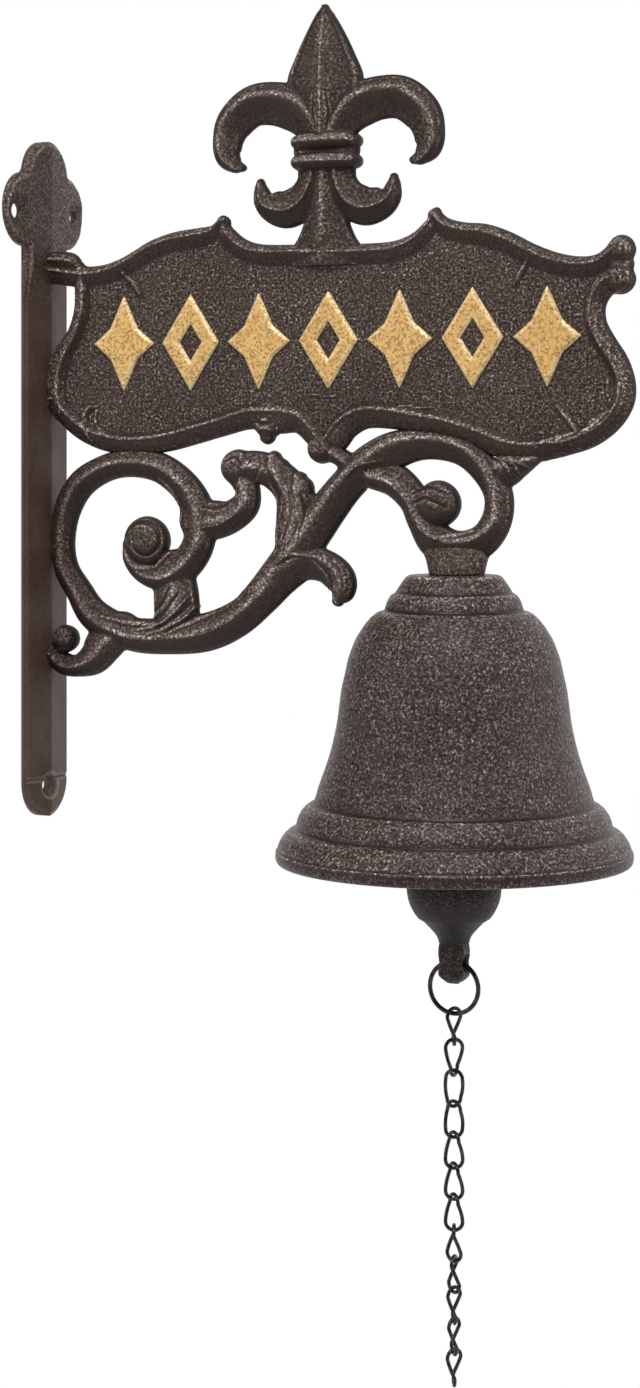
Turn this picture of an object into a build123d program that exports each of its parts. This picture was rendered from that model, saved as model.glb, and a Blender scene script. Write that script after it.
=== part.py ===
import math
import os

from build123d import *

os.makedirs("parts", exist_ok=True)

# All sizes are millimetres. X runs out from the wall, Y across it, Z up.
# The origin is on the wall face, midway between the two upper screws.

# Wall strap
strap_half_width = 11.6
strap_ridge = 4.6
strap_fall = 0.05
strap_top = 23.2
strap_bottom = -193.1
lobe_reach = 23.3
lobe_shoulder = 12.6
lobe_foot = -10.8
screw_hole_radius = 2.5
upper_screw_offset = 17.0
lower_screw_height = -183.1

# Section of a cast scroll: thin at the parting line, thick along its crest
edge = 1.0
scroll_crest = 4.2
rim_crest = 3.6
rim_half_width = 3.1
field_half_thickness = 1.6
ornament_relief = 1.3

# Bell seat and bell
bell_x = 143.7
seat_height = -113.0
seat_radius = 8.4
crown_thickness = 4.0
bell_panels = 40
shank_radius = 3.0
thread_clearance = 0.05
crown_clearance = 0.4
shank_depth = 12.0

# Eye bolt, washer and nut
washer_radius = 8.0
washer_thickness = 1.5
nut_across_flats = 10.0
nut_height = 5.0
eye_radius = 5.2
eye_hole_radius = 2.8
eye_half_thickness = 1.3
eye_neck = 0.8

# Joining link between the eye bolt and the clapper
link_wire_radius = 1.0
link_bend_radius = 3.1
bar_gap = 1.3
lug_gap = 0.6
running_gap = 0.3

# Clapper
ball_radius = 14.25
ball_panels = 24
ball_height = -206.7
rod_radius = 3.0
tail_half_width = 4.25
tail_half_thickness = 3.4
tail_tip = -235.6
tail_hole_radius = 2.1
tail_hole_height = -229.2
tail_shoulder = -222.4

# Ring and chain
ring_radius = 7.8
ring_wire_radius = 0.7
ring_rise = 0.2
chain_wire_radius = 0.6
chain_link_length = 12.0
chain_link_width = 6.4
link_count = 12

eye_height = (
    seat_height - crown_thickness - washer_thickness - nut_height - eye_neck - eye_radius
)
bar_half_height = (eye_radius - eye_hole_radius) / 2
upper_pivot = eye_height - eye_hole_radius - bar_half_height
lug_drop = eye_hole_radius - link_wire_radius - lug_gap
lower_pivot = upper_pivot - bar_half_height - bar_gap - eye_radius + lug_drop
lug_height = lower_pivot - lug_drop
ring_top = tail_hole_height + ring_rise
ring_height = ring_top - ring_radius
chain_pitch = chain_link_length - 4 * chain_wire_radius - running_gap
first_link_top = (
    ring_height - ring_radius + ring_wire_radius + running_gap + 2 * chain_wire_radius
)


# A closed solid of flat facets stretched over rings of corners
def skin(rings, closed=False, flat_panels=False):
    facets = []
    following = rings[1:] + rings[:1] if closed else rings[1:]
    for low, high in zip(rings, following):
        for k in range(len(low)):
            n = (k + 1) % len(low)
            corners = [low[k], low[n], high[n], high[k]]
            for pick in [(0, 1, 2, 3)] if flat_panels else [(0, 1, 2), (0, 2, 3)]:
                facets.append(Face(Wire.make_polygon([corners[c] for c in pick])))
    if not closed:
        facets += [Face(Wire.make_polygon(ring)) for ring in (rings[0], rings[-1])]
    return Solid(Shell(facets))


# A casting limb whose stations are x, z, half width and crest height
def limb(stations, flat=0.45):
    rings = []
    last = len(stations) - 1
    for i, (x, z, half, crest) in enumerate(stations):
        back = stations[max(i - 1, 0)]
        ahead = stations[min(i + 1, last)]
        run = math.hypot(ahead[0] - back[0], ahead[1] - back[1])
        across_x = -(ahead[1] - back[1]) / run
        across_z = (ahead[0] - back[0]) / run
        if flat:
            side = [(-half, edge), (-half * flat, crest), (half * flat, crest), (half, edge)]
        else:
            side = [(-half, edge), (0, crest), (half, edge)]
        profile = side + [(a, -b) for a, b in reversed(side)]
        rings.append([Vector(x + a * across_x, b, z + a * across_z) for a, b in profile])
    return skin(rings)


# The end of a scroll: a round button of flat facets, domed on both faces
def button(x, z, radius, crest, sides=9):
    rings = []
    for share, depth in (
        (0.3, -crest),
        (0.72, -0.76 * crest),
        (1.0, -edge),
        (1.0, edge),
        (0.72, 0.76 * crest),
        (0.3, crest),
    ):
        corners = []
        for k in range(sides):
            angle = 2 * math.pi * (k + 0.5) / sides
            reach = radius * share
            corners.append(
                Vector(x + reach * math.cos(angle), depth, z + reach * math.sin(angle))
            )
        rings.append(corners)
    return skin(rings)


finial_x = 101.7


# The same limb on the other side of the finial's centre line
def mirrored(stations):
    return [(2 * finial_x - x, z, half, crest) for x, z, half, crest in stations]


# Scroll limbs, each a centre line with its half width and crest
main_scroll = [
    (33.6, -105.5, 2.6, 3.0),
    (34.2, -110.0, 3.0, 3.4),
    (38.0, -114.2, 3.3, 3.8),
    (44.8, -115.6, 4.3, scroll_crest),
    (51.6, -112.6, 5.1, scroll_crest),
    (56.6, -106.8, 5.1, scroll_crest),
    (58.2, -99.8, 5.2, scroll_crest),
    (56.6, -92.6, 5.0, scroll_crest),
    (51.6, -86.2, 4.8, scroll_crest),
    (43.8, -81.2, 4.6, scroll_crest),
    (34.1, -79.8, 4.2, scroll_crest),
    (25.0, -81.2, 4.2, scroll_crest),
    (15.8, -86.2, 4.5, scroll_crest),
    (10.4, -94.4, 4.4, scroll_crest),
    (8.6, -104.4, 3.9, scroll_crest),
    (9.8, -113.2, 4.0, scroll_crest),
    (14.4, -120.4, 4.3, scroll_crest),
    (20.8, -128.6, 5.1, scroll_crest),
    (33.6, -133.8, 5.2, scroll_crest),
    (48.0, -134.0, 5.6, scroll_crest),
    (60.7, -132.4, 5.8, scroll_crest),
    (71.2, -128.0, 5.5, scroll_crest),
    (79.8, -121.3, 5.3, scroll_crest),
    (87.0, -114.6, 5.4, scroll_crest),
    (94.0, -110.4, 5.2, scroll_crest),
    (101.2, -111.2, 4.9, 4.0),
    (106.0, -114.8, 4.9, 3.6),
    (106.8, -118.8, 4.1, 2.8),
    (105.6, -121.6, 1.7, 1.8),
]
stem = [
    (76.0, -122.0, 3.6, 3.0),
    (87.0, -112.6, 6.2, 4.6),
    (102.4, -93.4, 5.8, 4.8),
    (108.6, -86.2, 5.4, 4.8),
    (115.4, -80.0, 5.6, 4.6),
    (124.6, -75.6, 5.6, 4.4),
    (134.6, -74.0, 4.3, scroll_crest),
    (145.6, -75.8, 4.0, scroll_crest),
    (153.6, -81.2, 4.4, scroll_crest),
    (158.0, -88.8, 4.3, scroll_crest),
    (157.4, -96.6, 4.5, scroll_crest),
    (152.8, -102.8, 4.8, 4.6),
    (145.4, -105.4, 5.4, 4.8),
    (138.2, -103.0, 5.6, 4.8),
    (133.6, -96.6, 4.8, 4.4),
    (130.6, -90.4, 4.7, scroll_crest),
    (124.6, -84.8, 5.0, scroll_crest),
    (117.0, -82.6, 4.6, 3.4),
]
acanthus = [
    (90.0, -112.0, 5.0, 3.0),
    (91.6, -104.0, 7.2, 3.7),
    (92.2, -97.2, 7.3, 3.7),
    (91.2, -91.0, 6.5, 3.7),
    (88.2, -86.2, 5.4, 3.7),
    (82.8, -82.2, 5.0, 3.7),
    (71.4, -81.4, 4.6, 3.9),
]
side_curl = [
    (57.4, -97.4, 6.2, 3.0),
    (63.6, -97.4, 5.9, 3.8),
    (69.2, -96.2, 4.9, 3.9),
    (73.8, -92.6, 4.5, 3.9),
    (74.6, -88.0, 3.9, 3.9),
    (72.6, -83.6, 4.2, 3.6),
]
underleaf = [
    (49.0, -113.0, 6.0, 3.0),
    (49.4, -119.0, 7.3, 3.4),
    (49.8, -125.0, 7.6, 3.4),
    (49.6, -130.6, 7.4, 3.4),
]
lower_scroll = [
    (31.0, -132.0, 5.0, 3.2),
    (24.6, -136.4, 6.2, 3.9),
    (20.0, -141.8, 5.2, 3.9),
    (14.2, -144.4, 3.4, 3.7),
    (8.8, -143.8, 3.4, 3.3),
    (5.0, -140.6, 2.8, 2.8),
]
right_leaf = [
    (153.0, -84.0, 4.2, 3.0),
    (159.4, -82.4, 5.0, 3.6),
    (165.2, -80.0, 3.4, 3.3),
    (170.6, -78.0, 1.3, 2.2),
]
drop_leaf = [
    (82.0, -65.6, 5.6, 3.0),
    (81.4, -69.2, 4.0, 3.2),
    (80.8, -71.8, 1.9, 2.2),
]
tie = [
    (100.6, -74.8, 3.4, 3.0),
    (105.8, -77.4, 2.8, 3.4),
    (111.0, -81.0, 3.0, 3.0),
]

# Sign rim runs, each a centre line with its half width
rim_top_left = [
    (1.6, -18.4, 3.2),
    (15.5, -20.4, rim_half_width),
    (24.5, -20.0, rim_half_width),
    (31.5, -17.8, rim_half_width),
    (36.8, -15.2, rim_half_width),
    (42.2, -12.5, rim_half_width),
    (49.8, -10.4, rim_half_width),
    (57.5, -9.4, 3.0),
    (63.0, -8.2, 2.6),
    (66.6, -4.9, 1.9),
]
rim_top_middle = [
    (65.8, -4.0, 1.2),
    (67.6, -8.6, 2.6),
    (72.4, -13.0, 3.0),
    (79.0, -15.2, rim_half_width),
    (114.0, -16.1, rim_half_width),
    (124.4, -15.6, rim_half_width),
    (131.6, -13.0, 3.0),
    (136.4, -8.6, 2.6),
    (138.2, -4.0, 1.2),
]
rim_top_right = [
    (137.4, -5.0, 1.9),
    (141.0, -8.6, 2.6),
    (146.8, -10.6, 3.0),
    (153.6, -11.4, rim_half_width),
    (160.6, -13.8, rim_half_width),
    (168.6, -17.8, rim_half_width),
    (176.8, -20.8, rim_half_width),
    (184.6, -21.9, 3.0),
    (191.0, -20.6, 2.8),
    (196.4, -17.0, 2.8),
]
rim_right = [
    (196.6, -24.6, 2.8),
    (191.4, -27.2, 3.0),
    (188.8, -32.2, 3.0),
    (188.8, -38.4, 3.0),
    (191.8, -44.4, rim_half_width),
    (195.6, -50.2, rim_half_width),
    (198.0, -56.4, rim_half_width),
    (197.2, -62.0, rim_half_width),
    (193.4, -67.2, rim_half_width),
    (187.4, -71.4, rim_half_width),
    (180.0, -73.8, rim_half_width),
    (172.0, -75.4, 3.2),
]
rim_bottom_right = [
    (178.0, -74.4, 2.6),
    (168.0, -75.8, 3.4),
    (159.8, -74.6, 3.4),
    (151.6, -71.6, 3.5),
    (142.6, -68.8, 3.5),
    (132.0, -66.8, 3.5),
    (123.0, -65.4, 3.6),
    (114.8, -65.2, 3.8),
    (108.6, -68.2, 4.0),
    (104.8, -72.6, 4.0),
    (101.8, -75.4, 2.6),
]
rim_bottom_left = [
    (100.0, -75.6, 2.4),
    (97.2, -71.2, 3.0),
    (92.4, -66.8, 3.6),
    (85.2, -65.8, 4.6),
    (76.0, -65.4, 3.6),
    (57.4, -70.2, 3.2),
    (47.3, -72.6, 3.2),
    (36.6, -73.8, rim_half_width),
    (26.0, -73.0, rim_half_width),
    (17.6, -70.2, 3.0),
    (11.4, -66.0, 3.0),
    (6.0, -60.6, 3.0),
]
rim_left = [
    (15.6, -19.4, 2.6),
    (16.2, -26.0, 2.8),
    (15.8, -32.4, 2.9),
    (13.4, -39.0, 3.0),
    (9.6, -44.6, 3.6),
    (7.0, -51.0, 4.0),
    (6.4, -57.0, 4.0),
    (8.2, -63.0, 3.2),
]
rim_runs = [
    rim_top_left,
    rim_top_middle,
    rim_top_right,
    rim_right,
    rim_bottom_right,
    rim_bottom_left,
    rim_left,
]

# Finial limbs, left half
petal_x = 101.2
centre_petal = [
    (petal_x, 61.2, 0.7, 1.3),
    (petal_x, 57.8, 3.0, 2.2),
    (petal_x, 51.6, 6.6, 3.4),
    (petal_x, 45.0, 9.8, 4.4),
    (petal_x, 38.2, 12.5, 4.8),
    (petal_x, 31.6, 11.0, 4.8),
    (petal_x, 24.6, 7.0, 4.6),
    (petal_x, 18.0, 5.2, 4.4),
]
side_petal = [
    (99.6, 18.0, 4.0, 3.4),
    (96.0, 24.6, 5.6, 3.8),
    (90.6, 29.4, 6.8, scroll_crest),
    (83.3, 31.4, 6.5, scroll_crest),
    (76.2, 30.8, 6.3, scroll_crest),
    (70.1, 26.0, 5.9, 4.0),
    (67.8, 20.6, 4.9, 3.6),
    (68.0, 15.8, 4.1, 3.0),
    (70.4, 12.9, 2.4, 2.2),
    (72.8, 12.0, 1.1, 1.4),
]
foot_curl = [
    (99.6, -0.6, 6.6, 3.4),
    (93.8, -1.2, 6.4, 3.9),
    (88.4, -1.4, 5.8, 4.0),
    (83.6, -0.6, 4.9, 3.6),
    (80.5, 1.4, 3.4, 2.8),
    (79.3, 4.8, 2.2, 2.0),
    (79.2, 7.2, 1.0, 1.4),
]
finial_stem = [
    (finial_x, 20.4, 9.8, 4.2),
    (finial_x, 12.0, 9.8, 4.4),
    (finial_x, 8.0, 8.8, 4.8),
    (finial_x, 2.0, 8.0, 4.8),
    (finial_x, -4.0, 8.2, 4.8),
    (finial_x, -10.0, 9.2, 4.4),
    (finial_x, -15.0, 12.8, 3.6),
]
collar_half_length = 10.7


def collar_band(height):
    return [
        (finial_x - collar_half_length, height, 1.7, 3.8),
        (finial_x - 8.6, height, 2.4, 5.8),
        (finial_x, height, 2.5, 6.4),
        (finial_x + 8.6, height, 2.4, 5.8),
        (finial_x + collar_half_length, height, 1.7, 3.8),
    ]


def strap_outline():
    w = strap_half_width
    right = [
        ThreePointArc((0, strap_top), (8.6, 19.6), (12.0, lobe_shoulder)),
        ThreePointArc((12.0, lobe_shoulder), (lobe_reach, 0.9), (w, lobe_foot)),
        Line((w, lobe_foot), (w, strap_bottom + w)),
    ]
    left = [curve.mirror(Plane.YZ) for curve in right]
    foot = ThreePointArc((w, strap_bottom + w), (0, strap_bottom), (-w, strap_bottom + w))
    return make_face(Curve() + right + left + foot)


# Roof-shaped section: flat on the wall, thickest along the middle
def wall_strap():
    blank = extrude(Plane.YZ * strap_outline(), strap_ridge)
    far = lobe_reach + 2
    thin = strap_ridge - strap_fall * far
    section = Polyline((0, -far), (thin, -far), (strap_ridge, 0), (thin, far), (0, far), close=True)
    roof = extrude(Pos(0, 0, strap_bottom - 1) * make_face(section), strap_top - strap_bottom + 2)
    strap = blank & roof
    for y, z in (
        (-upper_screw_offset, 0),
        (upper_screw_offset, 0),
        (0, lower_screw_height),
    ):
        strap -= Pos(0, y, z) * Rot(0, 90, 0) * Cylinder(screw_hole_radius, 4 * strap_ridge)
    return strap


def sign_field():
    loop = rim_runs[:-1] + [rim_left[::-1]]
    outline = [(x, z) for run in loop for x, z, half in run[1:-1]]
    face = Plane.XZ * make_face(Polyline(*outline, close=True))
    return extrude(face, field_half_thickness, both=True)


# Raised gilt ornament: pierced lozenges between four-pointed stars
ornament_first_x = 33.6
ornament_pitch = 22.5
ornament_height = -38.8
ornament_count = 7
ornament_half_height = 14.6
star_half_width = 11.0
star_waist = 4.4
lozenge_half_width = 9.4
lozenge_hole = 0.4


def ornament():
    level = field_half_thickness + ornament_relief
    h = ornament_half_height
    pieces = []
    for i in range(ornament_count):
        x = ornament_first_x + ornament_pitch * i
        if i % 2 == 0:
            w, c = star_half_width, star_waist
            star = [(w, 0), (c, c), (0, h), (-c, c), (-w, 0), (-c, -c), (0, -h), (c, -c)]
            shape = make_face(Polyline(*star, close=True))
        else:
            w = lozenge_half_width
            outer = make_face(Polyline((w, 0), (0, h), (-w, 0), (0, -h), close=True))
            shape = outer - scale(outer, lozenge_hole)
        pieces.append(extrude(Plane.XZ * Pos(x, ornament_height) * shape, level, both=True))
    return pieces


# Pad under the last scroll that the bell is bolted up to
def bell_seat():
    pad = Cylinder(seat_radius, 6.0, align=(Align.CENTER, Align.CENTER, Align.MIN))
    cone = Cone(seat_radius, 5.0, 7.0, align=(Align.CENTER, Align.CENTER, Align.MIN))
    return Pos(bell_x, 0, seat_height) * (pad + Pos(0, 0, 6.0) * cone)


def bracket():
    parts = [wall_strap(), sign_field(), bell_seat()]
    parts += ornament()
    for stations in (
        main_scroll,
        stem,
        acanthus,
        side_curl,
        underleaf,
        lower_scroll,
        right_leaf,
        drop_leaf,
        tie,
    ):
        parts.append(limb(stations))
    for run in rim_runs:
        parts.append(limb([(x, z, half, rim_crest) for x, z, half in run], flat=0))
    parts.append(limb(centre_petal, flat=0))
    for stations in (side_petal, mirrored(side_petal)):
        parts.append(limb(stations, flat=0.2))
    for stations in (foot_curl, mirrored(foot_curl)):
        parts.append(limb(stations, flat=0.3))
    parts.append(limb(finial_stem))
    for height in (13.6, 18.4):
        parts.append(limb(collar_band(height)))
    for x, z, radius, crest in (
        (39.3, -104.3, 7.6, 5.4),
        (138.7, -91.8, 6.9, 5.4),
        (9.8, -135.9, 4.2, 4.6),
        (71.4, -81.0, 5.4, 4.6),
        (100.2, -75.2, 4.4, 4.4),
        (9.8, -16.8, 4.4, 4.0),
        (196.2, -17.2, 3.6, 4.0),
        (197.4, -25.2, 3.8, 4.0),
    ):
        parts.append(button(x, z, radius, crest))
    solid = parts[0]
    for part in parts[1:]:
        solid = solid + part
    bore = Cylinder(
        shank_radius + thread_clearance,
        shank_depth,
        align=(Align.CENTER, Align.CENTER, Align.MIN),
    )
    return solid - Pos(bell_x, 0, seat_height) * bore


# Bell section as radius and height: down the outside to the lip, then back up inside
bell_profile = [
    (14.1, seat_height),
    (16.4, -115.6),
    (19.8, -120.4),
    (21.4, -123.6),
    (26.6, -127.8),
    (29.9, -132.6),
    (32.3, -139.4),
    (33.8, -147.2),
    (35.2, -157.6),
    (37.4, -166.6),
    (40.2, -175.4),
    (43.1, -181.2),
    (46.4, -185.0),
    (47.4, -188.2),
    (51.4, -191.6),
    (53.7, -195.8),
    (53.7, -198.2),
    (52.4, -199.4),
    (49.0, -199.4),
    (46.8, -195.0),
    (42.0, -186.0),
    (37.6, -177.0),
    (33.6, -166.0),
    (31.0, -153.0),
    (29.0, -141.0),
    (25.8, -133.4),
    (18.4, -124.2),
    (12.4, seat_height - crown_thickness),
]


# A turned shape with flat panels around the Z axis, from radius and height pairs
def turned(profile, panels):
    rings = []
    for radius, height in profile:
        ring = []
        for k in range(panels):
            angle = 2 * math.pi * k / panels
            ring.append(Vector(radius * math.cos(angle), radius * math.sin(angle), height))
        rings.append(ring)
    return rings


def bell():
    hole = shank_radius + crown_clearance
    points = [(hole, seat_height)] + bell_profile
    points += [(hole, seat_height - crown_thickness)]
    shell = skin(turned(points, bell_panels), closed=True, flat_panels=True)
    return Pos(bell_x, 0, 0) * shell


def flat_eye(height):
    disc = Rot(90, 0, 0) * Cylinder(eye_radius, 2 * eye_half_thickness)
    hole = Rot(90, 0, 0) * Cylinder(eye_hole_radius, 4 * eye_half_thickness)
    return Pos(0, 0, height) * (disc - hole)


def rod(radius, top, bottom):
    return Pos(0, 0, (top + bottom) / 2) * Cylinder(radius, top - bottom)


def eye_bolt():
    hole_edge = math.sqrt(eye_hole_radius**2 + shank_radius**2)
    shank = rod(shank_radius, seat_height + shank_depth - 0.5, eye_height + hole_edge)
    return Pos(bell_x, 0, 0) * (shank + flat_eye(eye_height))


def washer():
    top = seat_height - crown_thickness
    ring = rod(washer_radius, top, top - washer_thickness)
    bore = rod(shank_radius + 0.3, top + 1, top - washer_thickness - 1)
    return Pos(bell_x, 0, 0) * (ring - bore)


def nut():
    top = seat_height - crown_thickness - washer_thickness
    corner = nut_across_flats / math.sqrt(3)
    blank = extrude(Pos(0, 0, top - nut_height) * RegularPolygon(corner, 6), nut_height)
    bore = rod(shank_radius + thread_clearance, top + 1, top - nut_height - 1)
    return Pos(bell_x, 0, 0) * (blank - bore)


# A wire loop: two half-round bends joined by straights that turn by twist degrees
def wire_loop(top, length, bend, wire, turn, twist, steps=6, sides=6):
    half_straight = length / 2 - wire - bend
    middle = top - length / 2
    path = []
    for end in (1, -1):
        for k in range(steps + 1):
            angle = math.pi * k / steps
            path.append((end * bend * math.cos(angle), end * (half_straight + bend * math.sin(angle))))
        path.append((-end * bend, 0))
    points = []
    centres = []
    for across, rise in path:
        share = (half_straight - max(-half_straight, min(half_straight, rise))) / (2 * half_straight)
        heading = math.radians(turn + twist * share)
        points.append(Vector(across * math.cos(heading), across * math.sin(heading), middle + rise))
        core = max(-half_straight, min(half_straight, rise))
        centres.append(Vector(0, 0, middle + core))
    rings = []
    for i, (point, centre) in enumerate(zip(points, centres)):
        along = (points[(i + 1) % len(points)] - points[i - 1]).normalized()
        outward = point - centre
        outward = (outward - along * outward.dot(along)).normalized()
        beside = along.cross(outward)
        ring = []
        for k in range(sides):
            angle = 2 * math.pi * k / sides
            ring.append(point + outward * (wire * math.cos(angle)) + beside * (wire * math.sin(angle)))
        rings.append(ring)
    return Pos(bell_x, 0, 0) * skin(rings, closed=True)


def joining_link():
    top = upper_pivot + link_bend_radius + link_wire_radius
    bottom = lower_pivot - link_wire_radius
    return wire_loop(top, top - bottom, link_bend_radius, link_wire_radius, 90, 0)


def clapper():
    top = lug_height - eye_hole_radius - 0.8
    profile = [(rod_radius, top)]
    for angle in (78, 60, 38, 12, -14, -40, -58):
        a = math.radians(angle)
        profile.append((ball_radius * math.cos(a), ball_height + ball_radius * math.sin(a)))
    profile += [(4.6, -220.6), (4.2, tail_shoulder - 1)]
    body = skin(turned(profile, ball_panels), flat_panels=True)
    straight = tail_tip + tail_half_width
    tab = Pos(0, 0, (tail_shoulder + straight) / 2) * Box(
        2 * tail_half_width, 2 * tail_half_thickness, tail_shoulder - straight
    )
    toe = Pos(0, 0, straight) * Rot(90, 0, 0) * Cylinder(tail_half_width, 2 * tail_half_thickness)
    tail = tab + toe - Pos(0, 0, tail_hole_height) * Rot(0, 90, 0) * Cylinder(tail_hole_radius, 20)
    return Pos(bell_x, 0, 0) * (body + flat_eye(lug_height) + tail)


def pull_ring(steps=24, sides=6):
    rings = []
    for i in range(steps):
        around = 2 * math.pi * i / steps
        ring = []
        for k in range(sides):
            angle = 2 * math.pi * k / sides
            reach = ring_radius + ring_wire_radius * math.cos(angle)
            ring.append(
                Vector(
                    bell_x + reach * math.cos(around),
                    ring_wire_radius * math.sin(angle),
                    ring_height + reach * math.sin(around),
                )
            )
        rings.append(ring)
    return skin(rings, closed=True)


# Direction of each link's upper bend, in degrees from the X axis, and how far the link is twisted
link_twist = 55
link_turns = [62, 35, 5, 160, 145, 140, 140, 110, 95, 67, 75, 62]


def chain_link(number):
    return wire_loop(
        first_link_top - chain_pitch * number,
        chain_link_length,
        chain_link_width / 2 - chain_wire_radius,
        chain_wire_radius,
        link_turns[number],
        link_twist,
    )


export_step(bracket(), "parts/bracket.step")
export_step(bell(), "parts/bell.step")
export_step(eye_bolt(), "parts/eye_bolt.step")
export_step(washer(), "parts/washer.step")
export_step(nut(), "parts/nut.step")
export_step(joining_link(), "parts/joining_link.step")
export_step(clapper(), "parts/clapper.step")
export_step(pull_ring(), "parts/pull_ring.step")
for number in range(link_count):
    export_step(chain_link(number), f"parts/chain_link_{number + 1:02d}.step")
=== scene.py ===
import math

import bpy
import numpy as np
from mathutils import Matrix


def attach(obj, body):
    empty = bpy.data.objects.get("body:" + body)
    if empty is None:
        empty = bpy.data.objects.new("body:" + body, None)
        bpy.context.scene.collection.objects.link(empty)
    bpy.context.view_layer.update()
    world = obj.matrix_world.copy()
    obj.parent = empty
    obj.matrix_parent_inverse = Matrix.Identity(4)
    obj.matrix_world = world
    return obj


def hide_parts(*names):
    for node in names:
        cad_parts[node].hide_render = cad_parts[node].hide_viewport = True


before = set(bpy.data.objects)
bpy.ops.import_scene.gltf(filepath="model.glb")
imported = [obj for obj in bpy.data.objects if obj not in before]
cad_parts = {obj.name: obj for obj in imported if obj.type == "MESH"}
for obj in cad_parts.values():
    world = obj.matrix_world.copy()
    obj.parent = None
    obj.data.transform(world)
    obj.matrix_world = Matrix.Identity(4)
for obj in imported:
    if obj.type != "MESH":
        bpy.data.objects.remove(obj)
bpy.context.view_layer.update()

mm = 0.001
tiny = 1e-9  # keeps a division away from zero
nowhere = -9.0  # level and height where a casting has nothing

# Helpers in numpy, all lengths in millimetres

# A cubic through the stations: on each step it passes both ends and leans on their neighbours.
def smoothPath(stations, steps):
    p = np.array(stations, float)
    q = np.vstack([2 * p[0] - p[1], p, 2 * p[-1] - p[-2]])
    a, b, c, d = q[:-3], q[1:-2], q[2:-1], q[3:]
    t = np.linspace(0, 1, steps, endpoint=False)[:, None, None]
    cubic = 0.5 * (2 * b + (c - a) * t + (2 * a - 5 * b + 4 * c - d) * t**2 + (3 * b - a - 3 * c + d) * t**3)
    return np.vstack([cubic.transpose(1, 0, 2).reshape(-1, p.shape[1]), p[-1]])


# Goes from 0 to 1 between low and high: t * t * (3 - 2 t)
def ease(x, low, high):
    t = np.clip((x - low) / (high - low), 0, 1)
    return t * t * (3 - 2 * t)


# The larger of a and b, with the corner between them filled by (k - |a - b|) ** 2 / 4 k
def blendMax(a, b, k):
    return np.maximum(a, b) + np.maximum(k - np.abs(a - b), 0) ** 2 / (4 * k)


# Distance of each point to a path, the side it lies on (left is +) and the path's other columns there
def nearPath(u, v, path):
    start, step = path[:-1, :2], np.diff(path[:, :2], axis=0)
    square = (step**2).sum(1)
    du = u[:, None] - start[:, 0]
    dv = v[:, None] - start[:, 1]
    t = np.clip((du * step[:, 0] + dv * step[:, 1]) / square, 0, 1)
    gap = (du - t * step[:, 0]) ** 2 + (dv - t * step[:, 1]) ** 2
    k = gap.argmin(1)
    row = np.arange(len(u))
    side = np.sign(step[k, 0] * dv[row, k] - step[k, 1] * du[row, k])
    share = t[row, k]
    rest = path[k, 2:] * (1 - share)[:, None] + path[k + 1, 2:] * share[:, None]
    return np.sqrt(gap[row, k]), side, rest


# True for the points in the box round a path, with its greatest half width and a margin to spare
def besidePath(u, v, path, margin):
    reach = path[:, 2].max() + margin
    low, high = path[:, :2].min(0) - reach, path[:, :2].max(0) + reach
    return (u > low[0]) & (u < high[0]) & (v > low[1]) & (v < high[1])


# True for the points inside a closed outline, counting how often it is crossed to the right
def insideLoop(u, v, loop):
    u0, v0 = loop[:, 0], loop[:, 1]
    u1, v1 = np.roll(u0, -1), np.roll(v0, -1)
    spans = (v0 > v[:, None]) != (v1 > v[:, None])
    slope = (u1 - u0) / np.where(v1 == v0, tiny, v1 - v0)
    crossed = spans & (u[:, None] < u0 + (v[:, None] - v0) * slope)
    return crossed.sum(1) % 2 == 1


# A smooth-shaded piece from points in mm and arrays of polygons
def newMesh(name, points, polygons):
    mesh = bpy.data.meshes.new(name)
    points = np.asarray(points, float) * mm
    sizes = np.concatenate([np.full(len(p), p.shape[1]) for p in polygons if len(p)])
    corners = np.concatenate([np.asarray(p).ravel() for p in polygons if len(p)])
    mesh.vertices.add(len(points))
    mesh.vertices.foreach_set("co", points.ravel())
    mesh.loops.add(len(corners))
    mesh.loops.foreach_set("vertex_index", corners.astype(np.int32))
    mesh.polygons.add(len(sizes))
    starts = np.concatenate([[0], np.cumsum(sizes)[:-1]])
    mesh.polygons.foreach_set("loop_start", starts.astype(np.int32))
    mesh.update(calc_edges=True)
    mesh.validate()
    mesh.polygons.foreach_set("use_smooth", np.full(len(mesh.polygons), True))
    piece = bpy.data.objects.new(name, mesh)
    bpy.context.scene.collection.objects.link(piece)
    print(name, len(mesh.polygons), "faces")
    return piece


# One number for each vertex, for the materials to read
def addColumn(piece, name, values):
    column = piece.data.attributes.new(name, "FLOAT", "POINT")
    column.data.foreach_set("value", np.asarray(values, np.float32))


# Quads over a grid of rows and columns, wrapped where asked
def gridQuads(rows, columns, wrapRows=False, wrapColumns=True):
    r = np.arange(rows if wrapRows else rows - 1)
    c = np.arange(columns if wrapColumns else columns - 1)
    r, c = (g.ravel() for g in np.meshgrid(r, c, indexing="ij"))
    rn, cn = (r + 1) % rows, (c + 1) % columns
    return np.stack([r * columns + c, r * columns + cn, rn * columns + cn, rn * columns + c], 1)


# How the outline cuts a cell, by the corners that it keeps (1, 2, 4 and 8 added up): the polygons left,
# each a round of the cell's corners, 0 to 3, and of the cuts on its sides, 4 to 7
cellCases = {
    1: [(0, 4, 7)], 2: [(1, 5, 4)], 3: [(0, 1, 5, 7)], 4: [(2, 6, 5)], 5: [(0, 4, 7), (2, 6, 5)],
    6: [(1, 2, 6, 4)], 7: [(0, 1, 2, 6, 7)], 8: [(3, 7, 6)], 9: [(0, 4, 6, 3)],
    10: [(1, 5, 4), (3, 7, 6)], 11: [(0, 1, 5, 6, 3)], 12: [(2, 3, 7, 5)], 13: [(0, 4, 5, 2, 3)],
    14: [(1, 2, 3, 7, 4)], 15: [(0, 1, 2, 3)],
}

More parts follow.
